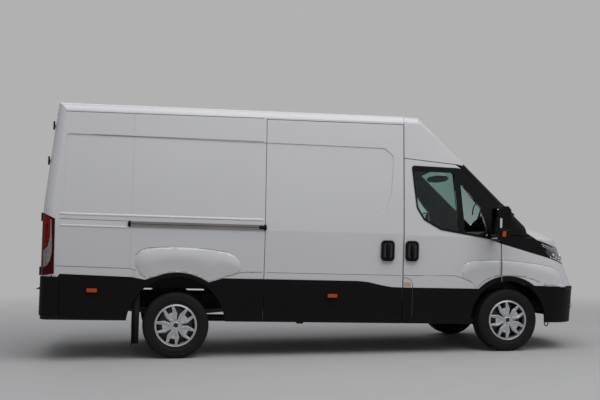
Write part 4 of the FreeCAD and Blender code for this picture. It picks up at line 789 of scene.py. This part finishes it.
def lamp_eye(kind, tail, view, u, v, radius):
    """A chrome ring on the cover and a dark ball behind it."""
    thick, share, sunk, steps = EYE_KINDS[kind]
    spot, normal = hit(lamp_skin, view, u, v)
    if normal.dot(VIEWS[view][1]) > 0:
        normal = -normal
    ring(f"{kind}_ring_{tail}", spot + normal * 0.003, normal, radius, thick, CHROME)
    bm = bmesh.new()
    bmesh.ops.create_uvsphere(bm, u_segments=steps, v_segments=steps // 2,
                              radius=radius * share / 1000)
    bm.transform(Matrix.Translation(spot - normal * radius * sunk / 1000))
    finish_piece(f"{kind}_lens_{tail}", bm, CLEAR_DARK, smooth=True)


for side, sign in SIGN.items():
    for name, points, width in SIDE_STRIPS:
        lamp_strip(f"lamp_strip_{name}_{side}", points, width, side, 30)
    for number, x, z, radius in SIDE_EYES:
        lamp_eye("lamp", f"{number}_{side}", side, x, z, radius)
    for name, points in FRONT_STRIPS:
        lamp_strip(f"lamp_front_{name}_{side}", [(sign * y, z) for y, z in points], 9,
                   "front", 40)
    for number, y, z, radius in FRONT_EYES:
        lamp_eye("beam", f"{number}_{side}", "front", sign * y, z, radius)
    drape("lamp_wedge_" + side, LAMP_WEDGE, BLACK, lamp_skin, side, lift=1.5, cell=30)

# Windscreen, wipers and cowl, measured from above: (x, y) in the body's level frame.

screen_skin = skin_of("windscreen", "cowl", "bonnet")
GLASS_OUT = along(0.67, 0, 0.74)
# The height that stands in where nothing lies below.
GLASS_Z = 1440
WIPER_PIVOT_X, WIPER_TIP_X, BLADE_X, BLADE_SWEEP = 3750, 3640, 3728, 105
WIPER_ENDS = ((500, -120), (-160, -740))
ARM_TAPER = [1.5, 1.3, 1.1, 1, 0.9, 0.8, 0.7]
ARM_SECTION = [(-9, -3), (9, -3), (7, 4), (-7, 4)]
BLADE_SECTION = [(-3, -9), (3, -9), (7, 0), (4, 8), (-4, 8), (-7, 0)]
SLAT_X, SLAT_PLACES = 3768, range(-600, 601, 100)


def on_glass(x, y, lift=0.0):
    """The point above a spot of the screen or cowl by lift, square to the glass."""
    return (hit(screen_skin, "top", x, y)[0] or at(x, y, GLASS_Z)) + GLASS_OUT * lift / 1000


def wiper(number, y_pivot, y_tip):
    """A bowed, tapering arm with its pivot, and the curved blade at its end."""
    pivot = on_glass(WIPER_PIVOT_X, y_pivot, 6)
    tip = on_glass(WIPER_TIP_X, (y_pivot + y_tip) / 2, 26)
    path = [pivot.lerp(tip, t / 6) + GLASS_OUT * 0.016 * math.sin(math.pi * t / 6)
            for t in range(7)]
    sweep(f"wiper_arm_{number}", path, ARM_SECTION, BLACK, GLASS_OUT, scale=ARM_TAPER)
    blade = [on_glass(BLADE_X - BLADE_SWEEP * math.sin(math.pi * (0.12 + t / 16)),
                      y_pivot + (y_tip - y_pivot) * t / 12 + 60, 9) for t in range(13)]
    sweep(f"wiper_blade_{number}", blade, BLADE_SECTION, TRIM, GLASS_OUT)
    soft_box(f"wiper_pivot_{number}", back(pivot), (34, 34, 26), BLACK, edge=9)


for number, ends in enumerate(WIPER_ENDS):
    wiper(number, *ends)
for number, y in enumerate(SLAT_PLACES):
    x, _, z = back(on_glass(SLAT_X, y))
    soft_box(f"cowl_slat_{number}", (x - 4, y, z + 1), (7, 78, 6), TRIM, edge=2)

# Front: (y, z) in the body's level frame.

BUMPER_SLOTS, SLOT_HALF, SLOT_TALL = (438, 486, 534, 582), 330, 26
FOG_RECESS, FOG_LAMP, FOG_RADIUS = [(560, 470), (760, 500), (740, 590), (560, 590)], (640, 535), 42
# The lip along the bumper's top.
BUMPER_LIP = [(-900, 716), (-500, 724), (0, 726), (500, 724), (900, 716)]
# The loop that hangs from the tow eye's socket: its middle and its half width and height.
LOOP_X, LOOP_Y, LOOP_Z, LOOP_WIDE, LOOP_TALL, LOOP_STEPS = 4262, -330, 287, 22, 26, 24

front_skin = skin_of("front_bumper", "grille", "bonnet", "front_wings", "headlamps")
for number, z in enumerate(BUMPER_SLOTS):
    top = z + SLOT_TALL
    outline = [(-SLOT_HALF, z), (SLOT_HALF, z), (SLOT_HALF - 12, top), (12 - SLOT_HALF, top)]
    drape(f"bumper_slot_{number}", rounded(outline, 10), SEAM, front_skin, "front", lift=1.2,
          cell=80)
for side, sign in SIGN.items():
    drape("bumper_recess_" + side, rounded([(sign * y, z) for y, z in FOG_RECESS], 26), GLOSS_BLACK,
          front_skin, "front", lift=1.5, cell=50)
    place, out = hit(front_skin, "front", sign * FOG_LAMP[0], FOG_LAMP[1])[0], along(1, 0, 0)
    ring("fog_ring_" + side, place + out * 0.006, out, FOG_RADIUS, 4, CHROME)
drape("bumper_lip", stroke(BUMPER_LIP, 12), TRIM, front_skin, "front", lift=4, cell=50)
path = [at(LOOP_X + LOOP_WIDE * c, LOOP_Y, LOOP_Z + LOOP_TALL * s) for c, s in circle(LOOP_STEPS)]
sweep("lashing_loop", path, disc_profile(6), CHASSIS_AND_SHADE, Vector((0, 1, 0)), closed=True)

# Rear: (y, z) in the body's level frame.

HINGE_HEIGHTS = (800, 1330, 1890, 2240)
HINGE_Y, LEAF_Y, BARREL_Y, BARREL_HALF = 840, 812, 868, 42
DOOR_PANELS = (("low", [(110, 820), (770, 820), (760, 1380), (110, 1380)], 60),
               ("high", [(110, 1480), (755, 1480), (700, 2230), (110, 2230)], 70))
HANDLE_LOW, HANDLE_HIGH, HANDLE_MIDDLE = (-150, 1010), (-26, 1190), (-88, 1100)
STOP_LOW, STOP_HIGH = (-170, 2396), (170, 2420)
# The ribs of the step: how many, the first one's X and their pitch, and half a rib in metres.
STEP_RIBS, STEP_RIB_X, STEP_RIB_PITCH, STEP_RIB_HALF = 6, -1376, 8, 0.8
ROOF_RIBS, ROOF_RIB_REACH, ROOF_RIB_WIDTH = (-640, -320, 0, 320, 640), (-1080, 2230), 60

rear_skin = skin_of("rear_door_right", "rear_door_left", "body_side_right", "body_side_left",
                    "roof", "rear_bumper", "rear_and_side_lamps")


def rear_side(side, sign):
    """Hinges and pressed panels of one rear door. The hinge's barrel stays with the body."""
    body = "back_door_" + side
    for number, z in enumerate(HINGE_HEIGHTS):
        x = back(hit(rear_skin, "rear", sign * HINGE_Y, z)[0])[0]
        soft_box(f"hinge_leaf_{number}_{side}", (x - 2, sign * LEAF_Y, z), (10, 96, 44),
                 WHITE, body, edge=4)
        pin = [at(x - 14, sign * BARREL_Y, z + end) for end in (-BARREL_HALF, BARREL_HALF)]
        sweep(f"hinge_barrel_{number}_{side}", pin, disc_profile(9), BLACK,
              Vector((0, 1, 0)))
    for name, outline, radius in DOOR_PANELS:
        drape(f"door_panel_{name}_{side}",
              rounded([(sign * y, z) for y, z in outline], radius), WHITE, rear_skin, "rear",
              body=body, lift=4, cell=90)


for side, sign in SIGN.items():
    rear_side(side, sign)
drape("back_handle_plate", plate(HANDLE_LOW, HANDLE_HIGH, 36), BLACK, rear_skin, "rear",
      body="back_door_right", lift=7)
place = hit(rear_skin, "rear", *HANDLE_MIDDLE)[0]
sweep("back_handle_bar", grip_path(place, -along(1, 0, 0), 70, 8),
      [(-12, -5), (12, -5), (14, 0), (10, 6), (-10, 6), (-14, 0)], BLACK, along(1, 0, 0),
      "back_door_right")
drape("high_stop_lamp", plate(STOP_LOW, STOP_HIGH, 10), DEEP_RED, rear_skin, "rear", lift=5)
for number in range(STEP_RIBS):
    place = hit(skin_of("rear_bumper"), "top", STEP_RIB_X + number * STEP_RIB_PITCH, 0)[0]
    ends = [place + Vector((0, y, 0)) for y in (-STEP_RIB_HALF, STEP_RIB_HALF)]
    sweep(f"step_rib_{number}", ends, [(-2, -1), (2, -1), (1.5, 2), (-1.5, 2)], TRIM,
          along(0, 0, 1))
for number, y in enumerate(ROOF_RIBS):
    drape(f"roof_rib_{number}", stroke([(x, y) for x in ROOF_RIB_REACH], ROOF_RIB_WIDTH), WHITE,
          skin_of("roof"), "top", lift=5, cell=150)

# Inside: dark linings, painted shade low in the load body and under its floor, the dashboard's
# hood and screen, and the sun visors.

PAINTED_SHADE_TOP, FLOOR_EDGE_Y, LOOKS_DOWN = 750, 0.6, -0.5
# Each box: middle, size, finish and rounding of its edges.
INSIDE_BOXES = {
    "dash_hood": ((3130, 430, 1290), (250, 380, 70), TRIM, 30),
    "dash_screen": ((3052, 0, 1250), (24, 250, 140), GLOSS_BLACK, 8),
    "visor_right": ((2850, -520, 1888), (150, 340, 56), TRIM, 18),
    "visor_left": ((2850, 520, 1888), (150, 340, 56), TRIM, 18),
}
# Faces behind the cab doors' and the cab roof's outer skin take the dark trim of their linings. The
# load body's sides low down take the chassis's near-black as painted shade, where the wheel arches
# look into the body.
for side in SIGN:
    paint("cab_door_" + side, TRIM, behind(skin_of("cab_door_" + side), side))
    paint("body_side_" + side, CHASSIS_AND_SHADE, lambda middle, normal: back(middle)[2] < PAINTED_SHADE_TOP)
paint("cab_roof", TRIM, behind(skin_of("cab_roof"), "top"))
# The floor's downward faces and the outer walls of its wheel boxes take the same near-black:
# painted shade under the body and in the wheel arches.
paint("load_floor", CHASSIS_AND_SHADE, lambda middle, normal: normal.z < LOOKS_DOWN
      or (abs(middle.y) > FLOOR_EDGE_Y and normal.y * middle.y > 0))
for name, (middle, size, finish, edge) in INSIDE_BOXES.items():
    soft_box(name, middle, size, finish, edge=edge)

# Seats: the CAD's solids cut into cushion, backrest and headrest, each a padded piece.

SEAT_BASE = 840.3
CUSHION_BACK, BACK_TOP = 2562, SEAT_BASE + 693
CUSHION_SEAM_X, BACK_SEAMS = 2790, (SEAT_BASE + 240, SEAT_BASE + 470)
# Seams along a seat lie this share of its width off its middle; a wide one has another there.
SIDE_SEAM, WIDE_SEAT = 0.3, 0.55
# The cloth run, in metres: voxel of the even mesh, seam's half width and furthest move.
VOXEL, SEAM_HALF, PUFF_REACH, PUFF_FRAMES = 0.014, 0.008, 0.014, 20
CLOTH = {"use_pressure": True, "uniform_pressure_force": 4.0, "vertex_group_mass": "seam",
         "tension_stiffness": 40, "compression_stiffness": 40, "quality": 4}


def cut_by(bm, place, normal):
    """Keeps what lies behind the plane and closes the cut."""
    bmesh.ops.bisect_plane(bm, geom=bm.verts[:] + bm.edges[:] + bm.faces[:], plane_co=place,
                           plane_no=normal, clear_outer=True)
    bmesh.ops.holes_fill(bm, edges=[edge for edge in bm.edges if len(edge.link_faces) == 1])


def seat_solids():
    """The CAD seats as separate closed meshes, from the left one to the right one."""
    bm = bmesh.new()
    bm.from_mesh(frame["nodes"]["seats"].data)
    bmesh.ops.remove_doubles(bm, verts=bm.verts[:], dist=1e-5)
    seen, found = set(), []
    for first in bm.verts:
        if first in seen:
            continue
        seen.add(first)
        group = [first]
        for vertex in group:
            for other in (edge.other_vert(vertex) for edge in vertex.link_edges):
                if other not in seen:
                    seen.add(other)
                    group.append(other)
        copy = bmesh.new()
        table = {vertex: copy.verts.new(vertex.co) for vertex in group}
        for face in bm.faces:
            if face.verts[0] in table:
                copy.faces.new([table[vertex] for vertex in face.verts])
        found.append(copy)
    bm.free()
    return sorted(found, key=lambda solid: -max(vertex.co.y for vertex in solid.verts))


def puff(obj, seams):
    """Inflates a padded piece between its stitched seams with a short cloth run."""
    remesh = obj.modifiers.new("even", "REMESH")
    remesh.mode = "VOXEL"
    remesh.voxel_size = VOXEL
    bpy.context.view_layer.update()
    graph = bpy.context.evaluated_depsgraph_get()
    mesh = bpy.data.meshes.new_from_object(obj.evaluated_get(graph))
    obj.modifiers.clear()
    obj.data = mesh
    for polygon in mesh.polygons:
        polygon.use_smooth = True
    rest = [vertex.co.copy() for vertex in mesh.vertices]
    pins = obj.vertex_groups.new(name="seam")
    held = [n for n, co in enumerate(rest) if any(abs(co.dot(normal) - place) < SEAM_HALF
                                                  for normal, place in seams)]
    pins.add(held, 1.0, "REPLACE")
    cloth = obj.modifiers.new("pad", "CLOTH")
    cloth.settings.effector_weights.gravity = 0.0
    for name, value in CLOTH.items():
        setattr(cloth.settings, name, value)
    scene = bpy.context.scene
    for number in range(1, PUFF_FRAMES + 1):
        scene.frame_set(number)
    graph = bpy.context.evaluated_depsgraph_get()
    run = bpy.data.meshes.new_from_object(obj.evaluated_get(graph))
    for vertex, moved, start in zip(mesh.vertices, run.vertices, rest):
        shift = moved.co - start
        if shift.length > PUFF_REACH:
            shift = shift.normalized() * PUFF_REACH
        vertex.co = start + shift
    obj.modifiers.remove(cloth)
    obj.vertex_groups.clear()
    bpy.data.meshes.remove(run)
    smooth = obj.modifiers.new("fine", "SUBSURF")
    smooth.levels = smooth.render_levels = 1
    scene.frame_set(1)


def seat_seams(name, middle, width):
    """The planes that a part's seams lie in, each a normal and its distance."""
    seams = []
    if name != "headrest":
        seams = [(across, middle - width * SIDE_SEAM), (across, middle + width * SIDE_SEAM)]
        if width > WIDE_SEAT:
            seams.append((across, middle))
    if name == "cushion":
        seams.append((forward, at(CUSHION_SEAM_X, 0, SEAT_BASE).dot(forward)))
    if name == "backrest":
        seams += [(upward, at(2500, 0, z).dot(upward)) for z in BACK_SEAMS]
    return seams


forward, upward, across = along(1, 0, 0), along(0, 0, 1), Vector((0, 1, 0))
x_cut, z_cut = at(CUSHION_BACK, 0, SEAT_BASE), at(2430, 0, BACK_TOP)
SEAT_PARTS = {
    "cushion": [(x_cut, -forward)],
    "backrest": [(x_cut, forward), (z_cut, upward)],
    "headrest": [(z_cut, -upward)],
}
for number, solid in enumerate(seat_solids()):
    ys = [vertex.co.y for vertex in solid.verts]
    for name, cuts in SEAT_PARTS.items():
        bm = solid.copy()
        for place, normal in cuts:
            cut_by(bm, place, normal)
        piece = finish_piece(f"seat_{name}_{number}", bm, FABRIC)
        puff(piece, seat_seams(name, (min(ys) + max(ys)) / 2, max(ys) - min(ys)))
        if (number, name) == (0, "cushion"):
            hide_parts("seats")
    solid.free()

# Stage: a pale floor that fades into an even background, three soft lamps and the camera.

FLOOR_SIZE, FADE_FROM, FADE_TO = 60, 3.6, 11.0
SKY_LIGHT, BACKGROUND = (0.36, 0.365, 0.38, 1), (0.44, 0.44, 0.44, 1)
# Lamps: place, target, size and power.
LAMPS = {
    "sky_panel": ((0.5, -3.5, 8.5), (0, 0, 1.0), (12, 8), 540),
    "front_fill": ((3.5, -8.0, 8.5), (0.3, 0, 1.2), (8, 5), 230),
    "far_fill": ((-1.0, 8.0, 6.0), (0, 0, 1.2), (10, 5), 170),
}
# The camera that fits the photograph: lens in millimetres, place in metres, angles in degrees.
SENSOR, LENS = 36.0, 54.007
CAMERA_PLACE = Vector((-0.428 - MIDDLE_X, -10.057, 1.222))
YAW, PITCH, ROLL = 10.499, 2.311, 0.105


def fading_floor():
    """A pale finish that turns clear far from the van."""
    material = surface("floor", (0.40, 0.40, 0.40), 0.75, vary=0.02, grain=0.05, spec=0.2)
    tree, shader = tree_of(material)
    place = wire(tree, "TexCoord", "Object", {})
    reach = wire(tree, "VectorMath", "Value", {0: place}, operation="LENGTH")
    fade = wire(tree, "MapRange", "Result", {"Value": reach, "From Min": FADE_FROM,
                                             "From Max": FADE_TO},
                interpolation_type="SMOOTHSTEP")
    clear = wire(tree, "BsdfTransparent", "BSDF", {})
    blend = wire(tree, "MixShader", "Shader", {"Fac": fade, 1: shader.outputs["BSDF"], 2: clear})
    fill(tree.nodes["Material Output"], {"Surface": blend})
    return material


def add_floor():
    mesh = bpy.data.meshes.new("floor")
    half = FLOOR_SIZE / 2
    mesh.from_pydata([(-half, -half, 0), (half, -half, 0), (half, half, 0), (-half, half, 0)],
                     [], [(0, 1, 2, 3)])
    mesh.materials.append(fading_floor())
    obj = bpy.data.objects.new("floor", mesh)
    bpy.context.scene.collection.objects.link(obj)


def add_world():
    """Even light from all round, and a plain background a little brighter than it."""
    world = bpy.data.worlds.new("studio")
    bpy.context.scene.world = world
    world.use_nodes = True
    tree = world.node_tree
    seen = wire(tree, "LightPath", "Is Camera Ray", {})
    mix = wire(tree, "Mix", "Result", {"Factor": seen, "A": SKY_LIGHT, "B": BACKGROUND},
               data_type="RGBA")
    fill(tree.nodes["Background"], {"Color": mix, "Strength": 1.0})


def add_lamp(name, place, target, size, power):
    lamp = bpy.data.lights.new(name, "AREA")
    lamp.shape = "RECTANGLE"
    lamp.size, lamp.size_y = size
    lamp.energy = power
    obj = bpy.data.objects.new(name, lamp)
    obj.location = place
    obj.rotation_euler = (Vector(target) - Vector(place)).to_track_quat("-Z", "Y").to_euler()
    bpy.context.scene.collection.objects.link(obj)


def add_camera():
    data = bpy.data.cameras.new("camera")
    data.sensor_width, data.lens, data.clip_end = SENSOR, LENS, 200.0
    camera = bpy.data.objects.new("camera", data)
    bpy.context.scene.collection.objects.link(camera)
    yaw, pitch, roll = (math.radians(angle) for angle in (YAW, PITCH, ROLL))
    ahead = Vector((math.sin(yaw) * math.cos(pitch), math.cos(yaw) * math.cos(pitch),
                    math.sin(pitch)))
    right = Vector((math.cos(yaw), -math.sin(yaw), 0))
    up = right.cross(ahead)
    right, up = (right * math.cos(roll) + up * math.sin(roll),
                 up * math.cos(roll) - right * math.sin(roll))
    basis = Matrix((right, up, -ahead)).transposed().to_4x4()
    basis.translation = CAMERA_PLACE
    camera.matrix_world = basis
    bpy.context.scene.camera = camera


add_floor()
add_world()
for name, settings in LAMPS.items():
    add_lamp(name, *settings)
add_camera()
bpy.context.scene.view_settings.view_transform = "Standard"
